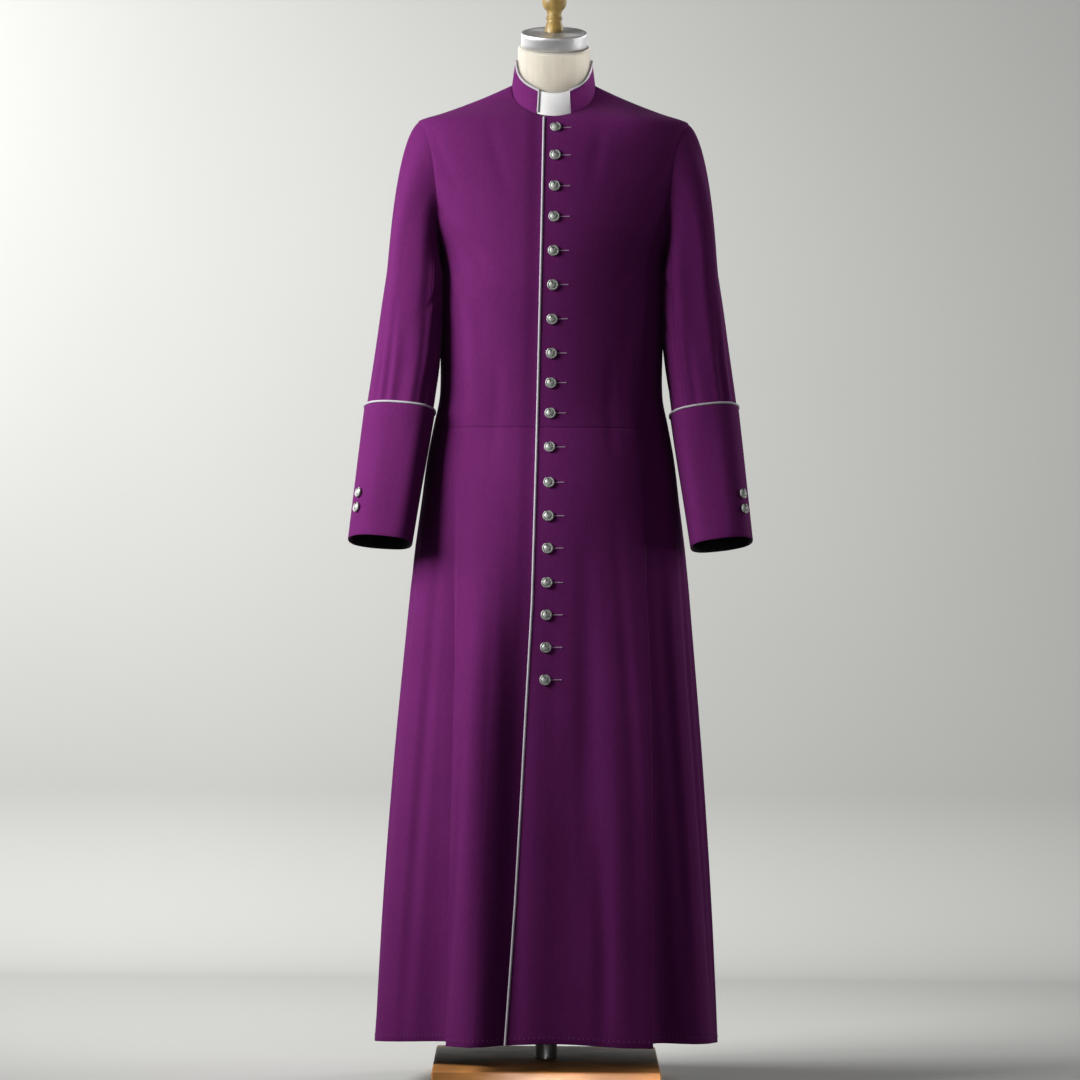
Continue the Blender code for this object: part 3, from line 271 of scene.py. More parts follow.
LEFT_SLEEVE_CREASES = table(Crease, [
    (0.0, 0.0, 4, 0.46, -0.008, 0.075), (38, 0.12, 42, 0.74, 0.0018, 0.018),
    (96, 0.24, 92, 0.82, -0.0024, 0.018), (28, 0.62, 27, 1.15, -0.002, 0.009),
    (44, 0.56, 43, 1.17, 0.002, 0.009), (58, 0.66, 57, 1.14, -0.002, 0.009),
    (72, 0.6, 70, 1.16, 0.0016, 0.01), (104, 0.62, 102, 1.12, -0.002, 0.011),
    (128, 0.54, 122, 1.1, 0.0018, 0.011), (158, 0.44, 114, 0.57, -0.0024, 0.012),
    (170, 0.56, 130, 0.68, -0.002, 0.012), (8, 0.46, 8, 1.08, 0.0014, 0.013),
    (-30, 0.34, -26, 1.12, -0.002, 0.015), (-58, 0.4, -54, 1.14, 0.002, 0.013),
    (-90, 0.24, -86, 0.88, -0.0024, 0.016), (-120, 0.46, -112, 1.1, -0.002, 0.013),
    (-150, 0.42, -116, 0.58, -0.0022, 0.012), (-166, 0.54, -128, 0.66, 0.0018, 0.011),
])
CUFF_CREASES = table(Crease, [
    (96, 0.1, 104, 1.2, -0.002, 0.024), (128, -0.1, 138, 1.1, 0.0016, 0.02),
    (30, 0.2, 24, 1.2, -0.001, 0.02), (-70, 0.05, -62, 1.2, -0.002, 0.024),
    (-118, -0.05, -126, 1.15, 0.0018, 0.022), (-160, 0.2, -168, 1.2, -0.0016, 0.018),
])
CREASE_WANDER = 0.010
CREASE_WAVES = 5.0
CREASE_FADE = 0.7
BUTTON_PULL = 0.0009
BUTTON_PULL_ASIDE = 0.006
BUTTON_PULL_REACH = 0.026
BUTTON_PULL_HEIGHT = 0.011

# Curves and surfaces -------------------------------------------------------------------------------

NORMAL_TURN = 0.004
NORMAL_RISE = 0.0015
SPOT_STEP = 0.003
SPOT_RADIUS = 0.1


def smooth_curve(keys, rows, at):
    """Rows of values on a smooth curve through the keys."""
    keys, rows = np.asarray(keys, float), np.asarray(rows, float)
    last = len(keys) - 1
    number = np.arange(last + 1)
    before, after = np.maximum(number - 1, 0), np.minimum(number + 1, last)
    slopes = (rows[after] - rows[before]) / (keys[after] - keys[before])[:, None]
    at = np.clip(np.asarray(at, float), keys[0], keys[last])
    low = np.clip(np.searchsorted(keys, at, side="right") - 1, 0, last - 1)
    span = (keys[low + 1] - keys[low])[..., None]
    part = (at - keys[low])[..., None] / span
    return (
        (2 * part**3 - 3 * part**2 + 1) * rows[low]
        + (part**3 - 2 * part**2 + part) * slopes[low] * span
        + (3 * part**2 - 2 * part**3) * rows[low + 1]
        + (part**3 - part**2) * slopes[low + 1] * span
    )


def ease(value):
    """0 below 0, 1 above 1, and an even S between them."""
    value = np.clip(value, 0.0, 1.0)
    return value * value * (3.0 - 2.0 * value)


def bump(value):
    """1 in the middle, 0 from -1 and +1 outwards, round between them."""
    return np.where(np.abs(value) < 1.0, np.cos(0.5 * pi * np.asarray(value)) ** 2, 0.0)


BODY_HEIGHTS = [row.height for row in BODY]


def body_ring(height):
    """The body's half width, front depth and back depth at each height."""
    values = smooth_curve(BODY_HEIGHTS, [row[1:] for row in BODY], height)
    return values[..., 0], values[..., 1], values[..., 2]


def lap_edge(height):
    return np.interp(height, [row.height for row in LAP], [row.across for row in LAP])


def turn_at(across, height):
    """The angle round from the centre front at which the body is this far across."""
    return np.arcsin(np.clip(across / body_ring(height)[0], -1.0, 1.0))


def wrapped(degrees):
    """The same angle between -180 and 180 degrees."""
    return (degrees + 180.0) % 360.0 - 180.0


def hem_height(turn):
    """The hem: a little higher at the front, most of all beside the lap."""
    lift = HEM_LIFT * bump((wrapped(np.degrees(turn)) - HEM_LIFT_TURN) / HEM_LIFT_SPREAD)
    return HEM_SIDE + HEM_RISE_FRONT * np.maximum(0.0, np.cos(turn)) + lift


def skirt_lift(turn, height):
    """How far the skirt's folds stand out of the plain body."""
    growth = np.maximum(0.0, (PLEAT_START - height) / (PLEAT_START - HEM_SIDE)) ** FOLD_GROWTH
    turned = np.degrees(turn)
    lift = sum(
        flute.rise * bump(wrapped(turned - flute.middle) / flute.half_width) for flute in ROUND_FLUTES)
    across = body_ring(height)[0] * np.sin(turn)
    ramp = ease((PLEAT_EDGE + PLEAT_RETURN - np.abs(across)) / (PLEAT_RETURN + PLEAT_FOOT))
    stepped = lift * (1.0 - ramp) + PLEAT_STEP * ramp
    fluted = sum(flute.rise * bump((across - flute.middle) / flute.half_width) for flute in FRONT_FLUTES)
    fluted = fluted * ramp * ease((FLUTE_START - height) / (FLUTE_START - FLUTE_FULL))
    return np.where(np.cos(turn) > 0.0, growth * stepped + fluted, growth * lift)


def creases_at(creases, turn, place, radius):
    """The summed lift of creases, each fading out at its two ends."""
    total = 0.0 * turn
    for crease in creases:
        part = (place - crease.start) / (crease.end - crease.start)
        line = np.radians(crease.turn + (crease.to_turn - crease.turn) * np.clip(part, 0.0, 1.0))
        line = line + CREASE_WANDER * np.sin(CREASE_WAVES * part + crease.turn)
        away = ((turn - line + pi) % (2.0 * pi) - pi) * radius
        swell = np.sin(pi * np.clip(part, 0.0, 1.0)) ** CREASE_FADE
        fade = np.where((part > 0.0) & (part < 1.0), swell, 0.0)
        total = total + crease.depth * bump(away / crease.width) * fade
    return total


def button_across(drop):
    """How far across the buttons' slanting line is at a drop below the neck seam."""
    return BUTTON_LINE_TOP + (BUTTON_LINE_BOTTOM - BUTTON_LINE_TOP) * drop / FRONT_BUTTON_DROPS[-1]


def button_pulls(point):
    """Shallow pulls of the cloth beside each front button."""
    total = 0.0 * point[..., 0]
    for drop in FRONT_BUTTON_DROPS:
        aside = (point[..., 0] - button_across(drop) - BUTTON_PULL_ASIDE) / BUTTON_PULL_REACH
        above = (point[..., 2] - NECK_SEAM_FRONT + drop) / BUTTON_PULL_HEIGHT
        total = total - BUTTON_PULL * bump(aside) * bump(above)
    return np.where(point[..., 1] < 0.0, total, 0.0)


def plain_points(turn, height, lift=0.0):
    """Points of the body's ellipses, moved out level by a lift."""
    half_width, front_depth, back_depth = body_ring(height)
    depth = np.where(np.cos(turn) > 0.0, front_depth, back_depth)
    out_x, out_y = np.sin(turn) / half_width, -np.cos(turn) / depth
    length = np.hypot(out_x, out_y)
    x = half_width * np.sin(turn) + out_x / length * lift
    y = -depth * np.cos(turn) + out_y / length * lift
    return np.stack([x, y, height + 0.0 * x], axis=-1)


def unit(vectors):
    return vectors / np.maximum(np.linalg.norm(vectors, axis=-1, keepdims=True), 1e-9)


def folded_points(turn, height):
    return plain_points(turn, height, skirt_lift(turn, height))


def normals_of(surface, turn, height):
    """Outward normals of a surface, from neighbouring points."""
    across = surface(turn + NORMAL_TURN, height) - surface(turn - NORMAL_TURN, height)
    along = surface(turn, height + NORMAL_RISE) - surface(turn, height - NORMAL_RISE)
    return unit(np.cross(across, along))


def body_points(turn, height, under=False):
    """The garment's outer side with all its creases; the right front sinks under the left one's lap."""
    turn, height = np.broadcast_arrays(np.asarray(turn, float), np.asarray(height, float))
    points, normals = folded_points(turn, height), normals_of(folded_points, turn, height)
    settings = bpy.context.scene.cassock_cloth
    radius = np.clip(np.hypot(points[..., 0], points[..., 1]), 0.05, None)
    lift = creases_at(BODY_CREASES, turn, height, radius) * settings.crease_depth
    lift = lift + button_pulls(points)
    if under:
        beyond = points[..., 0] - lap_edge(height)
        lift = lift - (settings.thickness + SEAT) * ease((beyond + LAP_BLEND) / (LAP_BLEND - LAP_FLAT))
        loose = ease((LAP_VALLEY_START - height) / (LAP_VALLEY_START - LAP_VALLEY_FULL))
        lift = lift - LAP_VALLEY * loose * ease((beyond + LAP_VALLEY_WIDTH) / LAP_VALLEY_WIDTH)
    return points + normals * lift[..., None]


def surface_spot(turn, height):
    """A point of the left front and its outward normal, for what is sewn on it."""
    step_turn = SPOT_STEP / SPOT_RADIUS
    places = body_points(
        turn + np.array([0.0, step_turn, -step_turn, 0.0, 0.0]),
        height + np.array([0.0, 0.0, 0.0, SPOT_STEP, -SPOT_STEP]))
    normal = np.cross(places[1] - places[2], places[3] - places[4])
    return Vector(places[0]), Vector(normal).normalized()


# Pattern pieces of the body -----------------------------------------------------------------------

ROWS_BELOW_ARMPIT = 6
ROWS_AT_ARMHOLE = 10
COLUMNS_AT_SHOULDER = 5
FRONT_COLUMNS_AT_NECK = 5
BACK_COLUMNS_AT_NECK = 6
SKIRT_ROWS = 24
FLAT_COLUMNS = 20
FOLD_COLUMNS = 5
UNDER_COLUMNS = 6
SIDE_COLUMNS = 24
BACK_COLUMNS = 60
LAP_COLUMNS = 3
LEVEL_TURN = 0.5  # where round the skirt a row's level is read
RELAX_ROUNDS = 220
RELAX_SHARE = 0.8
RELAX_STEP = 0.0005
NECK_HALVINGS = 40


def spread_of(turn, height):
    """A flat-pattern coordinate: the share of a quarter turn, times the half width."""
    return body_ring(height)[0] * turn / (0.5 * pi)


def armhole_places(climb, front):
    """(turn, height) on the armhole's oval; the angle climbs from the armpit to the shoulder point."""
    middle, half = (SHOULDER_POINT + ARMPIT) / 2.0, (SHOULDER_POINT - ARMPIT) / 2.0
    height = middle - half * np.cos(climb)
    _, front_depth, back_depth = body_ring(height)
    depth = np.where(front, front_depth, back_depth)
    half_depth = np.where(front, ARMHOLE_HALF_DEPTH_FRONT, ARMHOLE_HALF_DEPTH_BACK)
    return np.arccos(np.minimum(1.0, half_depth * np.sin(climb) / depth)), height


def neck_places(round_neck, front):
    """(turn, height) where the upright neck ellipse meets the body, round from its front or back."""
    x = NECK_SEAM_HALF_WIDTH * np.sin(round_neck)
    depth = NECK_SEAM_HALF_DEPTH * np.cos(round_neck)
    y = NECK_SEAM_MIDDLE + np.where(front, -depth, depth)
    low, high = 0.0 * x + NECK_SEAM_LOWEST, 0.0 * x + NECK_SEAM_HIGHEST
    for _ in range(NECK_HALVINGS):
        height = (low + high) / 2.0
        half_width, front_depth, back_depth = body_ring(height)
        ring_depth = np.where(y < 0.0, front_depth, back_depth)
        inside = (x / half_width) ** 2 + (y / ring_depth) ** 2 < 1.0
        low, high = np.where(inside, height, low), np.where(inside, high, height)
    return np.arctan2(x / half_width, np.abs(y) / ring_depth), height


def neck_quarter(front):
    share = NECK_SEAM_MIDDLE / NECK_SEAM_HALF_DEPTH
    return np.arccos(share if front else -share)


def half_pattern(front, inner_across, neck_start, columns_at_neck, fineness):
    """One half of a bodice piece as (turn, height) arrays, filled in from the pattern's four edges."""
    rows = ROWS_BELOW_ARMPIT + ROWS_AT_ARMHOLE
    columns = columns_at_neck + COLUMNS_AT_SHOULDER
    row = np.concatenate([
        np.linspace(0.0, ROWS_BELOW_ARMPIT, 2 * ROWS_BELOW_ARMPIT * fineness + 1),
        np.linspace(ROWS_BELOW_ARMPIT, rows, ROWS_AT_ARMHOLE * fineness + 1)[1:],
    ])
    column = np.linspace(0.0, columns, columns * fineness + 1)

    end = neck_quarter(front)
    round_neck = neck_start + (end - neck_start) * np.minimum(column / columns_at_neck, 1.0)
    top_turn, top_height = neck_places(round_neck, front)
    beyond = np.clip((column - columns_at_neck) / COLUMNS_AT_SHOULDER, 0.0, 1.0)
    shoulder = column > columns_at_neck
    side_neck = neck_places(np.array([end]), front)[1][0]
    top_height = np.where(shoulder, side_neck + (SHOULDER_POINT - side_neck) * beyond, top_height)
    top_turn = np.where(shoulder, 0.5 * pi, top_turn)
    top = np.stack([spread_of(top_turn, top_height), top_height])

    below = row <= ROWS_BELOW_ARMPIT
    side_height = WAIST_SEAM + (ARMPIT - WAIST_SEAM) * row / ROWS_BELOW_ARMPIT
    climb = pi * np.clip((row - ROWS_BELOW_ARMPIT) / ROWS_AT_ARMHOLE, 0.0, 1.0)
    arm_turn, arm_height = armhole_places(climb, front)
    outer_height = np.where(below, side_height, arm_height)
    outer_turn = np.where(below, 0.5 * pi, arm_turn)
    outer = np.stack([spread_of(outer_turn, outer_height), outer_height])

    inner_height = WAIST_SEAM + (top_height[0] - WAIST_SEAM) * row / rows
    inner = np.stack([
        spread_of(turn_at(inner_across(inner_height), inner_height), inner_height), inner_height])

    u, v = (column / columns)[None, None, :], (row / rows)[None, :, None]
    start, stop = inner[:, 0][:, None, None], outer[:, 0][:, None, None]
    bottom = start + (stop - start) * u
    corners = (
        (1 - u) * (1 - v) * start + u * (1 - v) * stop
        + (1 - u) * v * top[:, 0][:, None, None] + u * v * top[:, -1][:, None, None])
    spread, height = (
        (1 - v) * bottom + v * top[:, None, :]
        + (1 - u) * inner[:, :, None] + u * outer[:, :, None] - corners)
    turn = np.minimum(1.0, spread / body_ring(height)[0]) * 0.5 * pi
    return relaxed(turn, height)


def relaxed(turn, height):
    """Even out a grid's inner places over the surface; its four edges stay."""
    for _ in range(RELAX_ROUNDS):
        here = plain_points(turn, height)
        by_turn = (plain_points(turn + RELAX_STEP, height) - here)[1:-1, 1:-1] / RELAX_STEP
        by_height = (here - plain_points(turn, height - RELAX_STEP))[1:-1, 1:-1] / RELAX_STEP
        beside = here[1:-1, :-2] + here[1:-1, 2:] + here[:-2, 1:-1] + here[2:, 1:-1]
        move = 0.25 * beside - here[1:-1, 1:-1]
        tt, hh = np.sum(by_turn**2, axis=-1), np.sum(by_height**2, axis=-1)
        th = np.sum(by_turn * by_height, axis=-1)
        tm, hm = np.sum(by_turn * move, axis=-1), np.sum(by_height * move, axis=-1)
        size = np.maximum(tt * hh - th * th, 1e-9)
        turn[1:-1, 1:-1] += RELAX_SHARE * (tm * hh - hm * th) / size
        height[1:-1, 1:-1] += RELAX_SHARE * (hm * tt - tm * th) / size
        turn = np.clip(turn, 0.0, 0.5 * pi)
    return turn, height


def lap_part(height, side, fineness):
    """Columns across the lap, from one front's edge to the other's, level with the pattern's rows."""
    level = height[:, :1]
    lap = lap_edge(level)
    part = np.linspace(0.0, 1.0, LAP_COLUMNS * fineness + 1)[None, :]
    part = part[:, :-1] if side > 0 else part[:, 1:]
    across = lap + (UNDERLAP - lap) * part
    turns, heights = turn_at(across, level), level + 0.0 * across
    half_width = body_ring(heights[-1])[0]
    neck = np.arcsin(half_width * np.sin(turns[-1]) / NECK_SEAM_HALF_WIDTH)
    heights[-1] = neck_places(np.abs(neck), True)[1]
    return turns, heights


def skirt_places(turns_at_level, rows):
    """(turn, height) arrays from the waist seam to the hem."""
    part = np.linspace(0.0, 1.0, rows + 1) ** FOLD_GROWTH
    top = WAIST_SEAM - SEAM

    def height_at(turn, share):
        return top + (hem_height(turn) - top) * share

    turns = np.array([turns_at_level(height_at(LEVEL_TURN, share)) for share in part])
    return turns, height_at(turns, part[:, None])


def front_turns(side, fineness):
    """The skirt front's columns at a level, from its edge at the lap to the pleat's inner fold."""
    def at_level(height):
        lap = lap_edge(height)
        lead = PLEAT_EDGE - PLEAT_LEAD
        flat = np.linspace(lap if side > 0 else -lap, lead, FLAT_COLUMNS * fineness + 1)
        fold = np.linspace(lead, PLEAT_EDGE + PLEAT_RETURN, FOLD_COLUMNS * fineness + 1)[1:]
        line = np.concatenate([flat, fold])
        if side < 0:
            under = np.linspace(lap, UNDERLAP, UNDER_COLUMNS * fineness + 1)[1:]
            line = np.concatenate([-line[::-1], under])
        return turn_at(line, np.full(line.shape, height))
    return at_level


def side_turns(side, fineness):
    """The skirt side's columns at a level, from the pleat's fold to the seam at the back."""
    def at_level(height):
        start = turn_at(PLEAT_EDGE + PLEAT_RETURN + SOLID_SEAM, height)
        turns = np.linspace(start, radians(SIDE_BACK_SEAM), SIDE_COLUMNS * fineness + 1)
        return turns if side > 0 else -turns[::-1]
    return at_level


def back_turns(fineness):
    """The skirt back's columns at a level, from one side seam round to the other."""
    def at_level(height):
        gap = SEAM / 2.0 / body_ring(height)[2]
        start = radians(SIDE_BACK_SEAM) + gap
        return np.linspace(start, 2.0 * pi - start, BACK_COLUMNS * fineness + 1)
    return at_level


# Sleeves, cuffs and collar ------------------------------------------------------------------------

RING_STEP = 0.05
CAP_ROWS = 12
TUBE_ROWS = 14
UPPER_COLUMNS = 18
UNDER_SLEEVE_COLUMNS = 8
CUFF_COLUMNS = 26
COLLAR_COLUMNS = 36
COLLAR_ROWS = 13
TAB_ROWS = 15
TAB_COLUMNS = 97


def armhole_points(turn):
    """The armhole seam; turn 0 is the shoulder point, a quarter turn its front."""
    turned = turn % (2.0 * pi)
    front = turned <= pi
    climb = np.where(front, pi - turned, turned - pi)
    quarter, height = armhole_places(climb, front)
    return plain_points(np.where(front, quarter, pi - quarter), height)


def ring_frame(rings, place):
    """A ring's middle, its two axes, and its half width and half depth."""
    near = np.clip([place, place - RING_STEP, place + RING_STEP], 0.0, len(rings) - 1)
    values = smooth_curve(range(len(rings)), rings, near)
    middles = values[:, :3] * (1.0, -1.0, 1.0)
    line = unit(middles[2] - middles[1])
    across = np.array([1.0, 0.0, 0.0])
    across = unit(across - line * across.dot(line))
    forward = np.cross(across, line)
    forward = -forward if forward[1] > 0.0 else forward
    return middles[0], across, forward, values[0, 3], values[0, 4]


def ring_points(rings, place, turn, side):
    """A ring as a rounded box, skewed so that its front faces outward, filled towards the body."""
    middle, across, forward, half_width, half_depth = ring_frame(rings, place)
    skew = LEFT_SLEEVE_SKEW if side > 0 else RIGHT_SLEEVE_SKEW
    fills = [fill.left if side > 0 else fill.right for fill in SLEEVE_FILLS]
    fill = float(np.interp(middle[2], [fill.height for fill in SLEEVE_FILLS], fills))
    power = CUFF_SQUARE
    if rings is SLEEVE:
        power = SLEEVE_SQUARE + (SLEEVE_END_SQUARE - SLEEVE_SQUARE) * place / (len(SLEEVE) - 1)
    along, ahead = np.cos(turn), np.sin(turn)
    along = np.sign(along) * np.abs(along) ** power
    ahead = np.sign(ahead) * np.abs(ahead) ** power
    return (
        middle + across * (half_width * along - fill * np.maximum(0.0, -along))[:, None]
        + forward * (half_depth * ahead - skew * half_width * along)[:, None])


def cap_points(turn, part, side):
    """The sleeve's cap: a curve from the armhole, out over the arm and down to the first ring."""
    start = armhole_points(turn) + (ARMHOLE_SEAM, 0.0, 0.0)
    end = ring_points(SLEEVE, 0.0, turn, side)
    top = (0.5 + 0.5 * np.cos(turn)) ** CAP_POWER
    reach, rise = start.copy(), end.copy()
    reach[:, 0] += CAP_REACH * (CAP_LEAST_REACH + (1.0 - CAP_LEAST_REACH) * top)
    reach[:, 2] -= CAP_DROP * top
    rise[:, 2] += CAP_LEAST_RISE + CAP_RISE * top
    return (
        start * (1 - part) ** 3 + reach * 3 * part * (1 - part) ** 2
        + rise * 3 * part**2 * (1 - part) + end * part**3)


def tube_rows(rows, middles, turn, creases, side):
    """A tube's points with its creases, and its middles, both mirrored for the right arm."""
    points, middles = np.array(rows), np.array(middles)
    normals = unit(np.cross(np.gradient(points, axis=0), np.gradient(points, axis=1)))
    outward = points - middles[:, None, :]
    normals *= np.sign(np.sum(normals * outward, axis=-1, keepdims=True))
    turn, place = np.broadcast_arrays(turn[None, :], np.linspace(0.0, 1.0, len(points))[:, None])
    depth = bpy.context.scene.cassock_cloth.crease_depth
    points = points + normals * (creases_at(creases, turn, place, SLEEVE_RADIUS) * depth)[..., None]
    return points * (side, 1.0, 1.0), middles * (side, 1.0, 1.0)


def sleeve_rows(side, turn, fineness):
    """The sleeve's outer points from the armhole to under the cuff, and the arm's line."""
    creases = LEFT_SLEEVE_CREASES if side > 0 else RIGHT_SLEEVE_CREASES
    whole = np.linspace(0.0, 2.0 * pi, 33)[:-1]
    rows, middles = [], []
    for part in np.linspace(0.0, 1.0, CAP_ROWS * fineness + 1)[:-1]:
        rows.append(cap_points(turn, part, side))
        middles.append(cap_points(whole, part, side).mean(axis=0))
    for place in np.linspace(0.0, len(SLEEVE) - 1, TUBE_ROWS * fineness + 1):
        rows.append(ring_points(SLEEVE, place, turn, side))
        middles.append(ring_frame(SLEEVE, place)[0])
    return tube_rows(rows, middles, turn, creases, side)


def cuff_rows(side, turn, fineness):
    """The cuff's outer points from its top edge to the wrist, and the arm's line."""
    places = np.linspace(0.0, len(CUFF) - 1, TUBE_ROWS * fineness + 1)
    rows = [ring_points(CUFF, place, turn, side) for place in places]
    middles = [ring_frame(CUFF, place)[0] for place in places]
    return tube_rows(rows, middles, turn, CUFF_CREASES, side)


def collar_points(turn, up, inset=0.0):
    """The collar band's outer side; turn runs round from the front, up from 0 at its seam to 1."""
    front = np.cos(turn) > 0.0
    round_neck = np.abs(np.arctan2(np.sin(turn), np.abs(np.cos(turn))))
    seam = neck_places(round_neck, front)[1] - COLLAR_TUCK
    across, depth = NECK_SEAM_HALF_WIDTH * np.sin(turn), NECK_SEAM_HALF_DEPTH * np.cos(turn)
    low = np.stack([across, NECK_SEAM_MIDDLE - depth, seam], axis=-1)
    share = 0.5 - 0.5 * np.cos(turn)
    rise = COLLAR_HEIGHT_FRONT + (COLLAR_HEIGHT_BACK - COLLAR_HEIGHT_FRONT) * share
    high = np.stack([
        COLLAR_TOP_HALF_WIDTH * np.sin(turn),
        COLLAR_TOP_MIDDLE - COLLAR_TOP_HALF_DEPTH * np.cos(turn),
        seam + rise,
    ], axis=-1)
    inward = unit(np.stack([
        np.sin(turn) / NECK_SEAM_HALF_WIDTH, -np.cos(turn) / NECK_SEAM_HALF_DEPTH, 0.0 * turn], axis=-1))
    return low + (high - low) * up - inward * np.reshape(inset, (-1, 1))


def collar_span():
    """Where the band starts and ends, round from the front."""
    start = asin(COLLAR_LEFT_END / NECK_SEAM_HALF_WIDTH)
    return start, 2.0 * pi + asin(COLLAR_RIGHT_END / NECK_SEAM_HALF_WIDTH)


# Making meshes ------------------------------------------------------------------------------------


def only(thing):
    """Make a piece the only one that the next operator acts on."""
    bpy.ops.object.select_all(action="DESELECT")
    thing.select_set(True)
    bpy.context.view_layer.objects.active = thing
    return thing


def carry(piece, node_name):
    """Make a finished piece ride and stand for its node."""
    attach(piece, "root")
    if node_name:
        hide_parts(node_name)
    return piece


def edit_all():
    """Edit the active piece with all of it selected."""
    bpy.ops.object.mode_set(mode="EDIT")
    bpy.ops.mesh.select_all(action="SELECT")


def cut_at_slant(height, keep_above):
    """Cut the active piece along the neck plate's slant, and stay in its edit mode."""
    edit_all()
    bpy.ops.mesh.bisect(
        plane_co=(0.0, 0.0, height), plane_no=PLATE_NORMAL, use_fill=True,
        clear_inner=keep_above, clear_outer=not keep_above)


def apply_modifiers(thing):
    only(thing)
    for name in [modifier.name for modifier in thing.modifiers]:
        bpy.ops.object.modifier_apply(modifier=name)


def settle(thing, finish, smooth_angle=None):
    """Put a piece's place into its mesh and give it its finish and its smooth shading."""
    apply_modifiers(thing)
    bpy.ops.object.transform_apply(location=True, rotation=True, scale=True)
    thing.data.materials.clear()
    thing.data.materials.append(finish)
    bpy.ops.object.shade_smooth_by_angle(angle=smooth_angle or radians(35.0))
    return thing


def new_piece(name, data):
    thing = bpy.data.objects.new(name, data)
    bpy.context.scene.collection.objects.link(thing)
    return thing


def grid_mesh(name, points, middles, wraps=False):
    """A sheet from rows of points, facing away from its rows' middles, with a UV map in metres."""
    rows, columns = points.shape[:2]
    ids = np.arange(rows * columns).reshape(rows, columns)
    around = points
    if wraps:
        ids = np.concatenate([ids, ids[:, :1]], axis=1)
        around = np.concatenate([points, points[:, :1]], axis=1)
    across = np.zeros(around.shape[:2])
    across[:, 1:] = np.cumsum(np.linalg.norm(np.diff(around, axis=1), axis=2), axis=1)
    down = np.zeros(around.shape[:2])
    down[1:] = np.cumsum(np.linalg.norm(np.diff(around, axis=0), axis=2), axis=0)

    def corners(grid):
        return np.stack([grid[:-1, :-1], grid[:-1, 1:], grid[1:, 1:], grid[1:, :-1]], axis=2)

    quads = corners(ids)
    places = corners(np.stack([across, down], axis=-1))
    spots = corners(around)
    normals = np.cross(spots[:, :, 2] - spots[:, :, 0], spots[:, :, 3] - spots[:, :, 1])
    area = 0.5 * np.linalg.norm(normals, axis=-1).sum()
    outward = spots.mean(axis=2) - (0.5 * (middles[:-1] + middles[1:]))[:, None, :]
    if np.sum(normals * outward) < 0.0:
        quads, places = quads[:, :, ::-1], places[:, :, ::-1]
    data = bpy.data.meshes.new(name)
    data.from_pydata(points.reshape(-1, 3).tolist(), [], quads.reshape(-1, 4).tolist())
    layer = data.uv_layers.new(name="UVMap")
    layer.data.foreach_set("uv", places.reshape(-1).astype(np.float32))
    data.update()
    size = float(across[:, -1].max()), float(down[-1].max())
    return data, size, float(area)


def thicken(thing, thickness, edge_width):
    """Give a sheet its thickness inward and ease its edges."""
    shell = thing.modifiers.new("thickness", "SOLIDIFY")
    shell.thickness = thickness
    shell.offset = -1.0
    edge = thing.modifiers.new("eased edge", "BEVEL")
    edge.width = edge_width
    edge.segments = 2
    edge.limit_method = "ANGLE"
    return shell, edge


def cloth_shell(node_name, points, middles, thickness, wraps=False):
    """A thin closed shell of cloth under its outer points."""
    name = node_name + "_cloth"
    data, (width, length), area = grid_mesh(name, points, middles, wraps)
    thing = new_piece(name, data)
    thing.data.materials.append(finish_of("cassock_cloth"))
    # The inner side gets the lining, whose near-black colour also paints the shade inside the garment.
    thing.data.materials.append(finish_of("cassock_lining"))
    shell, edge = thicken(thing, thickness, bpy.context.scene.cassock_cloth.edge_roll)
    shell.use_even_offset = True
    shell.material_offset = 1
    edge.angle_limit = radians(60.0)
    apply_modifiers(thing)
    bpy.ops.object.shade_smooth()
    carry(thing, node_name)
    return thing


def upright_middles(points):
    """A place on the body's upright line for each row of points, at the row's mean height."""
    middles = np.zeros((len(points), 3))
    middles[:, 2] = points[:, :, 2].mean(axis=1)
    return middles


def body_shell(node_name, turn, height, shift=0.0, under=False):
    """A shell of body cloth from its pattern places."""
    points = body_points(turn, height, under)
    points[..., 1] += shift
    thickness = bpy.context.scene.cassock_cloth.thickness
    return cloth_shell(node_name, points, upright_middles(points), thickness)


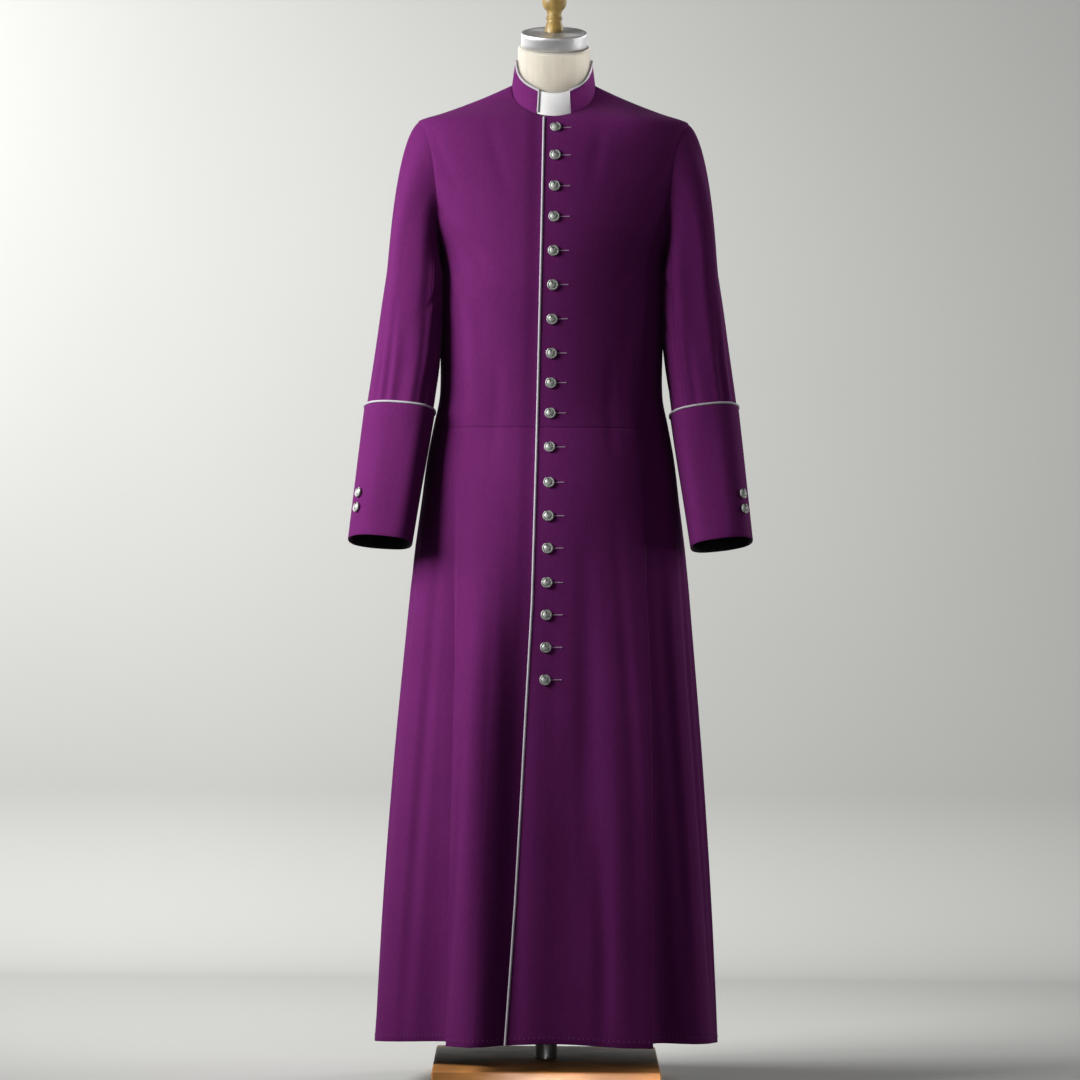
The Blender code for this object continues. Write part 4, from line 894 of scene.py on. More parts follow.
def cord_piece(name, path, radius, finish, closed=False, sides=10, ribs=None):
    """A round cord along a path, or a ribbed one where ribs gives its spacing and depth."""
    path = np.asarray(path, float)
    if closed:
        ahead, behind = np.roll(path, -1, axis=0), np.roll(path, 1, axis=0)
        tangents = unit(ahead - behind)
    else:
        tangents = unit(np.gradient(path, axis=0))
    upright = np.abs(tangents[:, 2:]) > 0.9
    side = unit(np.cross(tangents, np.where(upright, (0.0, 1.0, 0.0), (0.0, 0.0, 1.0))))
    for number in range(1, len(side)):
        carried = side[number - 1] - tangents[number] * side[number - 1].dot(tangents[number])
        side[number] = unit(carried)
    above = np.cross(side, tangents)
    length = np.concatenate([[0.0], np.cumsum(np.linalg.norm(np.diff(path, axis=0), axis=1))])
    turns = np.linspace(0.0, 2.0 * pi, sides + 1)[:-1]
    size = np.full((len(path), sides), radius)
    if ribs:
        size *= 1.0 - ribs[1] * (0.5 + 0.5 * np.cos(2.0 * pi * length / ribs[0]))[:, None]
    points = (
        path[:, None, :]
        + side[:, None, :] * (np.cos(turns)[None, :] * size)[..., None]
        + above[:, None, :] * (np.sin(turns)[None, :] * size)[..., None]
    )
    if closed:
        points = np.concatenate([points, points[:1]], axis=0)
        path = np.concatenate([path, path[:1]], axis=0)
    data, _, _ = grid_mesh(name, points, path, wraps=True)
    thing = new_piece(name, data)
    shape = bmesh.new()
    shape.from_mesh(data)
    bmesh.ops.remove_doubles(shape, verts=shape.verts, dist=0.00001)
    bmesh.ops.holes_fill(shape, edges=shape.edges, sides=sides)
    bmesh.ops.recalc_face_normals(shape, faces=shape.faces)
    shape.to_mesh(data)
    shape.free()
    return settle(thing, finish, radians(60.0))


# Finishes -----------------------------------------------------------------------------------------

EVEN = (1.0, 1.0, 1.0)
MIDDLE = (0.3, 0.7)
WAVE_RATE = 20.0  # radians that a wave of scale 1 turns through in a metre


def node(tree, kind, inputs=(), **choices):
    """A shader node with its inputs set or linked."""
    made = tree.nodes.new("ShaderNode" + kind)
    for name, choice in choices.items():
        setattr(made, name, choice)
    for name, value in dict(inputs).items():
        if isinstance(value, bpy.types.NodeSocket):
            tree.links.new(value, made.inputs[name])
        else:
            made.inputs[name].default_value = value
    return made


def math_node(tree, operation, first, second):
    return node(tree, "Math", {0: first, 1: second}, operation=operation).outputs[0]


def place_of(tree, stretch, turn=(0.0, 0.0, 0.0), uv=False):
    """Where a pattern is read: the piece's own UV map, or its object coordinates."""
    source = node(tree, "TexCoord").outputs["UV" if uv else "Object"]
    return node(tree, "Mapping", {"Vector": source, "Scale": stretch, "Rotation": turn}).outputs[0]


def noise(tree, scale, detail=3.0, roughness=0.55, stretch=EVEN):
    values = {"Vector": place_of(tree, stretch), "Scale": scale, "Detail": detail, "Roughness": roughness}
    return node(tree, "TexNoise", values).outputs["Fac"]


def bands(tree, pitch, distortion, stretch=EVEN, turn=(0.0, 0.0, 0.0), uv=False):
    """Lines across x, one for each pitch in metres."""
    values = {"Scale": 2.0 * pi / WAVE_RATE / pitch, "Distortion": distortion, "Detail": 1.0}
    values["Vector"] = place_of(tree, stretch, turn, uv)
    return node(tree, "TexWave", values).outputs["Fac"]


def blend(tree, *parts):
    """The sum of patterns, each times its share."""
    total = None
    for pattern, share in parts:
        value = math_node(tree, "MULTIPLY", pattern, share)
        total = math_node(tree, "ADD", total, value) if total else value
    return total


def new_material(name):
    made = bpy.data.materials.new(name)
    made.use_nodes = True
    return made


def colour_by(tree, pattern, dark, light, span, **sockets):
    """Colour the shader from dark to light over a span of the pattern, and set its constants."""
    shader = tree.nodes["Principled BSDF"]
    for socket, value in sockets.items():
        shader.inputs[socket.replace("_", " ")].default_value = value
    ramp = node(tree, "ValToRGB", {"Fac": pattern})
    for element, position, colour in zip(ramp.color_ramp.elements, span, (dark, light)):
        element.position = position
        element.color = (*colour, 1.0)
    tree.links.new(ramp.outputs["Color"], shader.inputs["Base Color"])
    return shader


def cover(tree, pattern, dark, light, span, rough, relief, worn=None, raised=None, **sockets):
    """Finish a surface: colours by the pattern, roughness by worn and relief by raised, or by the pattern.

    rough holds the roughness at the pattern's low and high end, relief a bump's strength and distance.
    """
    shader = colour_by(tree, pattern, dark, light, span, **sockets)
    spread = node(tree, "MapRange", {"Value": worn or pattern, "To Min": rough[0], "To Max": rough[1]})
    tree.links.new(spread.outputs["Result"], shader.inputs["Roughness"])
    lifted = node(tree, "Bump", {"Height": raised or pattern, "Strength": relief[0], "Distance": relief[1]})
    tree.links.new(lifted.outputs["Normal"], shader.inputs["Normal"])


def shades(group, name, share):
    """A setting's colour times a share, for the hollows, and the colour itself."""
    colour = tuple(getattr(getattr(bpy.context.scene, group), name))
    return tuple(channel * share for channel in colour), colour


def wool_twill(tree):
    cloth = bpy.context.scene.cassock_cloth
    rib = bands(tree, cloth.twill_pitch, 1.2, turn=(0.0, 0.0, radians(62.0)), uv=True)
    nap = noise(tree, 1500.0, 4.0)
    fuzz = noise(tree, 260.0, stretch=(1.0, 1.0, 0.45))
    mixed = blend(tree, (rib, 0.30), (nap, 0.34), (fuzz, 0.20), (noise(tree, 7.0), 0.20))
    cover(
        tree, mixed, tuple(cloth.deep), tuple(cloth.raised), (0.34, 0.70), (0.74, 0.94), (0.30, 0.0006),
        worn=nap, Sheen_Weight=0.07, Sheen_Roughness=0.40, Sheen_Tint=(0.90, 0.60, 0.88, 1.0),
        Specular_IOR_Level=0.04)


# A real lining whose near-black colour is also painted shade for the dark inside of the sleeves, cuffs and
# skirt.
def satin_lining_and_inner_shade(tree):
    weave = bands(tree, 0.0009, 0.6, uv=True)
    cover(
        tree, weave, *shades("cassock_cloth", "lining", 0.7), MIDDLE, (0.55, 0.70), (0.15, 0.0002),
        Sheen_Weight=0.10, Specular_IOR_Level=0.30)


def corded_satin(tree):
    twist = bands(tree, 0.0013, 0.8, turn=(0.0, 0.0, radians(52.0)), uv=True)
    mixed = blend(tree, (twist, 0.6), (noise(tree, 60.0), 0.4))
    cover(
        tree, mixed, *shades("cassock_trims", "piping_colour", 0.62), (0.25, 0.75), (0.60, 0.42),
        (0.55, 0.0004), raised=twist, Sheen_Weight=0.35, Sheen_Roughness=0.3, Specular_IOR_Level=0.6)


def thread_stitches(tree, colour_name):
    strand = noise(tree, 2400.0, stretch=(1.0, 1.0, 0.3))
    cover(
        tree, strand, *shades("cassock_trims", colour_name, 0.6), MIDDLE, (0.5, 0.75), (0.4, 0.0003),
        Sheen_Weight=0.2, Specular_IOR_Level=0.4)


def aged_silver(tree):
    tarnish = noise(tree, 420.0, 5.0, 0.65)
    cover(
        tree, tarnish, *shades("cassock_trims", "button_colour", 0.45), (0.38, 0.62), (0.62, 0.44),
        (0.25, 0.0002), raised=noise(tree, 2600.0), Metallic=0.40, Specular_IOR_Level=0.5)


def white_insert(tree):
    cover(
        tree, noise(tree, 500.0), (0.84, 0.83, 0.82), (0.90, 0.89, 0.88), MIDDLE, (0.38, 0.50),
        (0.08, 0.0002), Specular_IOR_Level=0.5, Coat_Weight=0.15, Coat_Roughness=0.3)


def linen(tree):
    upright = bands(tree, 0.0011, 1.5)
    level = bands(tree, 0.0011, 1.5, turn=(0.0, radians(90.0), 0.0))
    slub = noise(tree, 160.0, 4.0, stretch=(1.0, 1.0, 0.12))
    weave = blend(tree, (upright, 0.5), (level, 0.5))
    mixed = blend(tree, (weave, 0.45), (slub, 0.55))
    cover(
        tree, mixed, *shades("dress_form", "linen_colour", 0.80), (0.32, 0.62), (0.85, 0.95),
        (0.30, 0.0005), worn=weave, Sheen_Weight=0.15, Specular_IOR_Level=0.2, Subsurface_Weight=0.75,
        Subsurface_Radius=(1.0, 0.94, 0.85), Subsurface_Scale=0.05)


def brushed_metal(tree):
    lines = noise(tree, 1800.0, 4.0, stretch=(0.06, 0.06, 1.0))
    mixed = blend(tree, (lines, 0.6), (noise(tree, 22.0, 4.0), 0.4))
    cover(
        tree, mixed, *shades("dress_form", "metal_colour", 0.72), MIDDLE, (0.46, 0.34), (0.12, 0.0002),
        raised=lines, Metallic=0.80, Anisotropic=0.7)


def grained_wood(tree, colour_name, stretch, coat, ring):
    """Wood with growth rings, pores and a varnish."""
    rings = bands(tree, ring, 5.0, stretch)
    pores = noise(tree, 420.0, 5.0, 0.7, tuple(part * part for part in stretch))
    mixed = blend(tree, (rings, 0.38), (pores, 0.34), (noise(tree, 9.0), 0.28))
    cover(
        tree, mixed, *shades("dress_form", colour_name, 0.55), (0.25, 0.72), (0.42, 0.62),
        (0.20, 0.0004), worn=pores, raised=pores, Coat_Weight=coat, Coat_Roughness=0.25,
        Specular_IOR_Level=0.4)


def dark_enamel(tree):
    peel = noise(tree, 300.0)
    cover(
        tree, noise(tree, 30.0), *shades("dress_form", "pole_colour", 0.6), MIDDLE, (0.36, 0.52),
        (0.12, 0.0003), worn=peel, raised=peel, Specular_IOR_Level=0.5, Coat_Weight=0.2,
        Coat_Roughness=0.3)


FINISHES = {
    "cassock_cloth": wool_twill,
    "cassock_lining": satin_lining_and_inner_shade,
    "piping": corded_satin,
    "buttonhole_thread": partial(thread_stitches, colour_name="thread_colour"),
    "hem_thread": partial(thread_stitches, colour_name="hem_thread_colour"),
    "buttons": aged_silver,
    "collar_tab": white_insert,
    "form_linen": linen,
    "neck_plate": brushed_metal,
    "finial_wood": partial(
        grained_wood, colour_name="finial_colour", stretch=(1.0, 1.0, 0.25), coat=0.35, ring=0.012),
    "pole": dark_enamel,
    "base_wood": partial(
        grained_wood, colour_name="base_colour", stretch=(0.10, 1.0, 1.0), coat=0.10, ring=0.016),
}


def finish_of(slot):
    """A slot's material, made when it is first asked for."""
    name = slot + "_finish"
    made = bpy.data.materials.get(name)
    if not made:
        made = new_material(name)
        FINISHES[slot](made.node_tree)
    return made


# Sizes and colours that a user would change -------------------------------------------------------

Length = partial(FloatProperty, unit="LENGTH")
Colour = partial(FloatVectorProperty, subtype="COLOR")


class ClothSettings(PropertyGroup):
    thickness: Length(name="Cloth", description="Thickness of the faced cloth", default=0.002)
    cuff_thickness: Length(name="Cuff", description="Thickness of the doubled cuff", default=0.0026)
    edge_roll: Length(name="Edge roll", description="How far turned edges are rounded", default=0.0005)
    crease_depth: FloatProperty(
        name="Crease depth", description="Factor on the depth of every crease", default=1.0)
    fineness: IntProperty(
        name="Fineness", description="Subdivisions of each pattern column and row", default=4, min=1)
    twill_pitch: Length(name="Twill pitch", description="Spacing of the twill's ribs", default=0.0014)
    deep: Colour(name="Deep", description="Colour between the ribs", default=(0.090, 0.0085, 0.080))
    raised: Colour(name="Raised", description="Colour of the nap", default=(0.160, 0.0210, 0.142))
    # Near black: the lining's own colour, darkened as painted shade for the cloth's inner side.
    lining: Colour(name="Lining", description="Colour of the inner side", default=(0.012, 0.006, 0.012))


class TrimSettings(PropertyGroup):
    piping_radius: Length(name="Piping", description="Radius of the corded piping", default=0.0019)
    button_radius: Length(name="Front button", description="Radius of a front button", default=0.0086)
    cuff_button_radius: Length(name="Cuff button", description="Radius of a cuff button", default=0.0080)
    button_height: Length(name="Button height", description="Height of a button's dome", default=0.0058)
    buttonhole_length: Length(
        name="Buttonhole", description="Length of a worked buttonhole that shows", default=0.016)
    stitch_spacing: Length(
        name="Stitch spacing", description="Between two stitches of the hem", default=0.0066)
    piping_colour: Colour(name="Piping", description="Colour of the piping", default=(0.62, 0.57, 0.64))
    button_colour: Colour(name="Buttons", description="Colour of the metal", default=(0.58, 0.60, 0.56))
    thread_colour: Colour(
        name="Buttonholes", description="Colour of their thread", default=(0.48, 0.28, 0.46))
    hem_thread_colour: Colour(
        name="Hem thread", description="Colour of the hem's thread", default=(0.25, 0.038, 0.24))


class FormSettings(PropertyGroup):
    plate_radius: Length(name="Neck plate", description="Radius of the neck plate", default=0.052)
    pole_radius: Length(name="Pole", description="Radius of the pole", default=0.017)
    base_side: Length(name="Base side", description="Side of the square base", default=0.354)
    base_height: Length(name="Base height", description="Thickness of the base", default=0.038)
    base_edge: Length(name="Base edge", description="Rounding of the base's edges", default=0.0035)
    linen_colour: Colour(name="Linen", description="Colour of the linen", default=(0.60, 0.555, 0.465))
    metal_colour: Colour(name="Plate", description="Colour of the neck plate", default=(0.78, 0.77, 0.77))
    finial_colour: Colour(
        name="Finial", description="Colour of the turned wood", default=(0.36, 0.235, 0.062))
    pole_colour: Colour(name="Pole", description="Colour of the pole", default=(0.020, 0.017, 0.015))
    base_colour: Colour(name="Base", description="Colour of the base's wood", default=(0.80, 0.335, 0.090))


class StageSettings(PropertyGroup):
    distance: Length(name="Camera distance", description="Camera to the garment's middle", default=7.0)
    focal_length: FloatProperty(
        name="Focal length", description="In millimetres", default=147.7, unit="CAMERA")
    camera_height: Length(name="Camera height", description="Above the floor", default=0.857)
    camera_aside: Length(
        name="Camera aside", description="To the wearer's right of the middle", default=0.016)
    camera_roll: FloatProperty(
        name="Camera roll", description="About its own line", default=radians(0.45), unit="ROTATION")
    key_power: FloatProperty(name="Key light", description="Power of the key light, in watts", default=15.0)
    fill_power: FloatProperty(
        name="Fill light", description="Power of the fill light, in watts", default=2.9)
    rim_power: FloatProperty(
        name="Side light", description="Power of the light from the other side, in watts", default=3.2)
    back_power: FloatProperty(
        name="Back light", description="Power of the light behind and above, in watts", default=5.0)
    wall_power: FloatProperty(
        name="Wall light", description="Power of the light on the backdrop, in watts", default=63.0)
    floor_power: FloatProperty(
        name="Floor light", description="Power of the low light on the base, in watts", default=0.060)
    neck_power: FloatProperty(
        name="Neck light", description="Power of the light on the form's neck, in watts", default=0.055)
    light_spread: FloatProperty(
        name="Light spread", description="Angle of every wide light's beam", default=radians(90.0),
        unit="ROTATION")
    ambient: FloatProperty(name="Ambient", description="Strength of the light from all round", default=0.06)
    paper_colour: Colour(
        name="Paper", description="Colour of floor and backdrop", default=(0.74, 0.74, 0.71))


SETTINGS = {
    "cassock_cloth": ClothSettings,
    "cassock_trims": TrimSettings,
    "dress_form": FormSettings,
    "cassock_stage": StageSettings,
}


# Operators ----------------------------------------------------------------------------------------

# Piping: how far the front edge's cord stays from the neck seam and the hem, and how the collar's
# cord turns its corner, in shares of its clearance and of the collar's height
PIPING_DROP = 0.003
PIPING_RISE = 0.001
PIPING_STEPS = 420
BESIDE_TURN = 0.02
CORNER_BEYOND = 0.85
CORNER_ABOVE = 0.55
END_BEYOND = 1.15
END_UPS = (0.90, 0.75, 0.55, 0.35, 0.20, 0.09)

# Stitching: radii, places, and the spacing and depth of a worked thread's ribs
BUTTONHOLE_RADIUS = 0.0011
BUTTONHOLE_RIBS = (0.0013, 0.34)
BUTTONHOLE_START = 0.6
HEM_BEAD = (0.00055, 0.00055, 0.0026)
HEM_STITCH_RISE = 0.0095
NECK_STITCH_RADIUS = 0.0005
NECK_STITCH_RIBS = (0.004, 0.25)
NECK_STITCH_ACROSS = -0.004
NECK_STITCH_DROP = 0.019
NECK_STITCH_DEPTH = 0.99


class CASSOCK_OT_skirt(Operator):
    """Two fronts, two sides and the back, hanging from the waist seam"""
    bl_idname = "cassock.skirt"
    bl_label = "Skirt"

    def execute(self, context):
        fineness = context.scene.cassock_cloth.fineness
        rows, columns = SKIRT_ROWS * fineness, max(1, 3 * fineness // 4)
        for side, label in SIDES:
            turn, height = skirt_places(front_turns(side, columns), rows)
            body_shell("skirt_front_" + label, turn, height, under=side < 0)
            turn, height = skirt_places(side_turns(side, columns), rows)
            body_shell("skirt_side_" + label, turn, height)
        turn, height = skirt_places(back_turns(columns), rows)
        body_shell("skirt_back", turn, height)
        return {"FINISHED"}


class CASSOCK_OT_bodice(Operator):
    """Two overlapping fronts and a whole back, seamed at the sides and shoulders"""
    bl_idname = "cassock.bodice"
    bl_label = "Bodice"

    def execute(self, context):
        fine = context.scene.cassock_cloth.fineness
        for side, label in SIDES:
            if side > 0:
                neck_start = asin(UNDERLAP / NECK_SEAM_HALF_WIDTH)
                inner = partial(np.full_like, fill_value=UNDERLAP)
            else:
                neck_start = asin(-float(lap_edge(NECK_SEAM_FRONT)) / NECK_SEAM_HALF_WIDTH)
                inner = self.lap_mirrored
            turn, height = half_pattern(True, inner, neck_start, FRONT_COLUMNS_AT_NECK, fine)
            lap_turn, lap_height = lap_part(height, side, fine)
            if side > 0:
                turn, height = np.hstack([lap_turn, turn]), np.hstack([lap_height, height])
            else:
                turn = np.hstack([-turn[:, ::-1], lap_turn])
                height = np.hstack([height[:, ::-1], lap_height])
            body_shell(
                "bodice_front_" + label, turn, height, -SEAM / 2.0, side < 0)
        turn, height = half_pattern(False, np.zeros_like, 0.0, BACK_COLUMNS_AT_NECK, fine)
        turn = np.hstack([(pi - turn)[:, ::-1], (pi + turn)[:, 1:]])
        height = np.hstack([height[:, ::-1], height[:, 1:]])
        body_shell("bodice_back", turn, height, SEAM / 2.0)
        return {"FINISHED"}

    @staticmethod
    def lap_mirrored(height):
        return -lap_edge(height)


class CASSOCK_OT_sleeves(Operator):
    """Two-piece sleeves set into the armholes"""
    bl_idname = "cassock.sleeves"
    bl_label = "Sleeves"

    def execute(self, context):
        settings = context.scene.cassock_cloth
        fine = settings.fineness
        seam = radians(180.0 - UNDER_SLEEVE_TURN)
        trim = SEAM / 2.0 / SLEEVE_RADIUS
        for side, label in SIDES:
            pieces = (
                ("upper_sleeve_", -seam, seam, UPPER_COLUMNS * fine),
                ("under_sleeve_", seam, 2.0 * pi - seam, UNDER_SLEEVE_COLUMNS * fine),
            )
            for kind, start, end, columns in pieces:
                turn = np.linspace(start + trim, end - trim, columns + 1)
                points, middles = sleeve_rows(side, turn, fine)
                cloth_shell(
                    kind + label, points, middles, settings.thickness)
        return {"FINISHED"}


class CASSOCK_OT_cuffs(Operator):
    """Deep turned-up cuffs, open at the wrist"""
    bl_idname = "cassock.cuffs"
    bl_label = "Cuffs"

    def execute(self, context):
        settings = context.scene.cassock_cloth
        fine = settings.fineness
        turn = np.linspace(0.0, 2.0 * pi, CUFF_COLUMNS * fine + 1)[:-1]
        for side, label in SIDES:
            points, middles = cuff_rows(side, turn, max(1, fine // 2))
            cloth_shell(
                "cuff_" + label, points, middles, settings.cuff_thickness,
                wraps=True)
        return {"FINISHED"}


class CASSOCK_OT_collar(Operator):
    """A stand collar, open in front over a white insert"""
    bl_idname = "cassock.collar"
    bl_label = "Collar"

    def execute(self, context):
        settings = context.scene.cassock_cloth
        start, end = collar_span()
        turn = np.linspace(start, end, COLLAR_COLUMNS * settings.fineness + 1)
        points = np.array([collar_points(turn, up) for up in np.linspace(0.0, 1.0, COLLAR_ROWS)])
        middles = np.zeros((len(points), 3))
        cloth_shell("collar_band", points, middles, settings.thickness)
        tab_start = asin((COLLAR_RIGHT_END - TAB_TUCK) / NECK_SEAM_HALF_WIDTH)
        tab_end = asin((COLLAR_LEFT_END + TAB_TUCK) / NECK_SEAM_HALF_WIDTH)
        turn = np.linspace(tab_start, tab_end, TAB_COLUMNS)
        shown = ease((turn - end + 2.0 * pi) / TAB_BEND) * ease((start - turn) / TAB_BEND)
        inset = settings.thickness + 2.0 * SEAT - shown * (settings.thickness + SEAT)
        points = np.array([collar_points(turn, up, inset) for up in np.linspace(*TAB_SPAN, TAB_ROWS)])
        data, _, _ = grid_mesh("collar_insert", points, middles[:1].repeat(len(points), axis=0))
        insert = new_piece("collar_insert", data)
        thicken(insert, TAB_THICKNESS, TAB_THICKNESS / 3.0)
        settle(insert, finish_of("collar_tab"))
        carry(insert, "collar_tab")
        return {"FINISHED"}


class CASSOCK_OT_piping(Operator):
    """Corded piping on the front edge, the collar and the cuffs"""
    bl_idname = "cassock.piping"
    bl_label = "Piping"

    def execute(self, context):
        radius = context.scene.cassock_trims.piping_radius
        self.pipe_front(radius)
        self.pipe_collar(radius, context.scene.cassock_cloth.thickness / 2.0)
        self.pipe_cuffs(radius)
        return {"FINISHED"}

    @staticmethod
    def pipe_front(radius):
        """The cord down the left front's edge."""
        foot = hem_height(turn_at(LAP[0].across, LAP[0].height)) + PIPING_RISE
        heights = np.linspace(NECK_SEAM_FRONT - PIPING_DROP, foot, PIPING_STEPS)
        turn = turn_at(lap_edge(heights), heights)
        edge = body_points(turn, heights)
        beside = unit(body_points(turn - BESIDE_TURN, heights) - edge)
        out = np.cross(beside, (0.0, 0.0, 1.0))
        out *= -np.sign(out[:, 1:2])
        path = edge + beside * (radius + SEAT) + out * SEAT
        path[:, 1] -= SEAM / 2.0
        cord = cord_piece("front_edge_piping_cord", path, radius, finish_of("piping"))
        carry(cord, "front_edge_piping")

    @staticmethod
    def pipe_collar(radius, half_cloth):
        """The cord round the collar's top and down its end."""
        start, end = collar_span()
        turn = np.linspace(start, end, 150)
        clear = radius + SEAT
        top = collar_points(turn, 1.0, half_cloth)
        slope = unit(np.gradient(top, axis=0))
        above = unit(np.array([0.0, 0.0, 1.0]) - slope * slope[:, 2:])
        path = list(top + above * clear)
        beyond = clear / NECK_SEAM_HALF_WIDTH
        corner = collar_points(np.array([end + CORNER_BEYOND * beyond]), 1.0)[0]
        path.append(corner + above[-1] * clear * CORNER_ABOVE)
        for up in END_UPS:
            path.append(collar_points(np.array([end + END_BEYOND * beyond]), up, -SEAT)[0])
        cord = cord_piece("collar_piping_cord", path, radius, finish_of("piping"))
        carry(cord, "collar_piping")

    @staticmethod
    def pipe_cuffs(radius):
        """The cords round the cuffs' tops."""
        turn = np.linspace(0.0, 2.0 * pi, 121)[:-1]
        for side, label in SIDES:
            rows, middles = cuff_rows(side, turn, 1)
            path = rows[0] - unit(middles[1] - middles[0]) * (radius + SEAT)
            name = "cuff_piping_" + label
            carry(cord_piece(name + "_cord", path, radius, finish_of("piping"), closed=True), name)


def turned(name, profile, sides):
    """A turned solid: a cone at the profile's foot, its top extruded and resized through the rings."""
    bpy.ops.object.select_all(action="DESELECT")
    (radius, low), (next_radius, high) = profile[:2]
    bpy.ops.mesh.primitive_cone_add(
        vertices=sides, radius1=radius, radius2=next_radius, depth=high - low,
        location=(0.0, 0.0, (high + low) / 2.0))
    thing = bpy.context.object
    thing.name = name
    bpy.ops.object.transform_apply(location=True, rotation=False, scale=False)
    bpy.ops.object.mode_set(mode="EDIT")
    shape = bmesh.from_edit_mesh(thing.data)
    for face in shape.faces:
        face.select_set(face.calc_center_median().z > high - 1e-6)
    shape.select_flush_mode()
    bmesh.update_edit_mesh(thing.data)
    for (old_radius, old_height), (radius, height) in zip(profile[1:], profile[2:]):
        bpy.ops.mesh.extrude_region_move(TRANSFORM_OT_translate={"value": (0.0, 0.0, height - old_height)})
        share = radius / old_radius
        bpy.ops.transform.resize(value=(share, share, 1.0), center_override=(0.0, 0.0, height))
    bpy.ops.object.mode_set(mode="OBJECT")
    return thing


def place_button(model, node_name, point, normal):
    """A copy of a button with its own mesh, stood on the cloth."""
    data = model.data.copy()
    turn = normal.to_track_quat("Z", "Y").to_matrix().to_4x4()
    data.transform(Matrix.Translation(point + normal * SEAT) @ turn)
    carry(new_piece(node_name + "_metal", data), node_name)


BUTTON_SIDES = 36
FINIAL_SIDES = 56
POLE_SIDES = 64
BUTTON_RINGS = [  # radius and height as shares: foot, side, rim, groove, dome
    (0.80, 0.00), (0.93, 0.12), (1.00, 0.32), (1.00, 0.48), (0.965, 0.62), (0.90, 0.70), (0.82, 0.71),
    (0.755, 0.655), (0.715, 0.62), (0.67, 0.655), (0.58, 0.76), (0.44, 0.87), (0.28, 0.945),
    (0.12, 0.985), (0.02, 0.99),
]


def button_model(name, radius, height):
    model = turned(name, [(radius * out, height * up) for out, up in BUTTON_RINGS], BUTTON_SIDES)
    settle(model, finish_of("buttons"), radians(50.0))
    return model


def front_button_spots():
    """Each front button's height, place across, point and normal on the left front."""
    for drop in FRONT_BUTTON_DROPS:
        height, across = NECK_SEAM_FRONT - drop, button_across(drop)
        point, normal = surface_spot(float(turn_at(across, height)), height)
        yield height, across, point, normal


class CASSOCK_OT_buttons(Operator):
    """Domed metal buttons down the front and two on each cuff"""
    bl_idname = "cassock.buttons"
    bl_label = "Buttons"

    def execute(self, context):
        trims = context.scene.cassock_trims
        model = button_model("button_model", trims.button_radius, trims.button_height)
        for number, (_, _, point, normal) in enumerate(front_button_spots(), start=1):
            place_button(model, f"front_button_{number:02d}", point, normal)
        bpy.data.objects.remove(model)

        model = button_model("cuff_button_model", trims.cuff_button_radius, trims.button_height)
        turn = radians(CUFF_BUTTON_TURN) + np.array([CUFF_BUTTON_STEP, 0.0, -CUFF_BUTTON_STEP])
        for side, label in SIDES:
            rows, _ = cuff_rows(side, turn, 4)
            for number, place in enumerate(CUFF_BUTTON_PLACES, start=1):
                row = round(place * (len(rows) - 1))
                point = rows[row, 1]
                normal = np.cross(rows[row + 1, 1] - rows[row - 1, 1], rows[row, 0] - rows[row, 2])
                normal = Vector(normal * np.sign(normal[0] * side)).normalized()
                place_button(model, f"cuff_button_{label}_{number}", Vector(point), normal)
        bpy.data.objects.remove(model)
        return {"FINISHED"}


class CASSOCK_OT_stitching(Operator):
    """Worked buttonholes beside the front buttons and a row of stitches round the hem"""
    bl_idname = "cassock.stitching"
    bl_label = "Stitching"

    def execute(self, context):
        self.work_buttonholes(context.scene.cassock_trims)
        self.stitch_hem(context.scene.cassock_trims.stitch_spacing)
        return {"FINISHED"}

    @staticmethod
    def work_buttonholes(trims):
        """The part of each buttonhole that shows beside its button, joined into one piece."""
        holes = []
        for number, (height, across, _, _) in enumerate(front_button_spots(), start=1):
            line = np.linspace(
                BUTTONHOLE_START * trims.button_radius, trims.button_radius + trims.buttonhole_length, 40)
            heights = np.full(line.shape, height)
            path = body_points(turn_at(across + line, heights), heights)
            path[:, 1] -= SEAT
            hole = cord_piece(
                f"buttonhole_{number}", path, BUTTONHOLE_RADIUS, finish_of("buttonhole_thread"), sides=8,
                ribs=BUTTONHOLE_RIBS)
            holes.append(hole)
        only(holes[0])
        for hole in holes:
            hole.select_set(True)
        bpy.ops.object.join()
        holes[0].name = "buttonhole_stitching"
        carry(holes[0], None)

    @staticmethod
    def stitch_hem(spacing):
        """Beads of thread, standing upright round the hem."""
        bpy.ops.object.select_all(action="DESELECT")
        bpy.ops.mesh.primitive_ico_sphere_add(subdivisions=1, radius=1.0)
        bead = bpy.context.object
        corners = np.array([tuple(vertex.co) for vertex in bead.data.vertices]) * HEM_BEAD
        faces = np.array([tuple(face.vertices) for face in bead.data.polygons])
        bpy.data.objects.remove(bead)
        count = round(pi * (BODY[0].half_width + BODY[0].back_depth) / spacing)
        turn = np.linspace(-pi, pi, count + 1)[:-1]
        height = hem_height(turn) + HEM_STITCH_RISE
        across = body_ring(height)[0] * np.sin(turn)
        under = (across < lap_edge(height)) & (np.cos(turn) > 0.0)
        spots = np.where(under[:, None], body_points(turn, height, True), body_points(turn, height))
        points = (spots[:, None, :] + corners[None, :, :]).reshape(-1, 3)
        shifts = (np.arange(count) * len(corners))[:, None, None]
        data = bpy.data.meshes.new("hem_stitching")
        data.from_pydata(points.tolist(), [], (faces[None] + shifts).reshape(-1, 3).tolist())
        stitches = settle(new_piece("hem_stitching", data), finish_of("hem_thread"))
        carry(stitches, None)


def form_points(turn, height):
    """The form's torso: the body moved in, and cut flat at its arm plates."""
    turn, height = np.broadcast_arrays(turn, height)
    inset = np.interp(height, [row.height for row in FORM_INSETS], [row.inset for row in FORM_INSETS])
    points = plain_points(turn, height) - normals_of(plain_points, turn, height) * inset[..., None]
    points[..., 0] = np.clip(points[..., 0], -ARM_PLATE, ARM_PLATE)
    return points


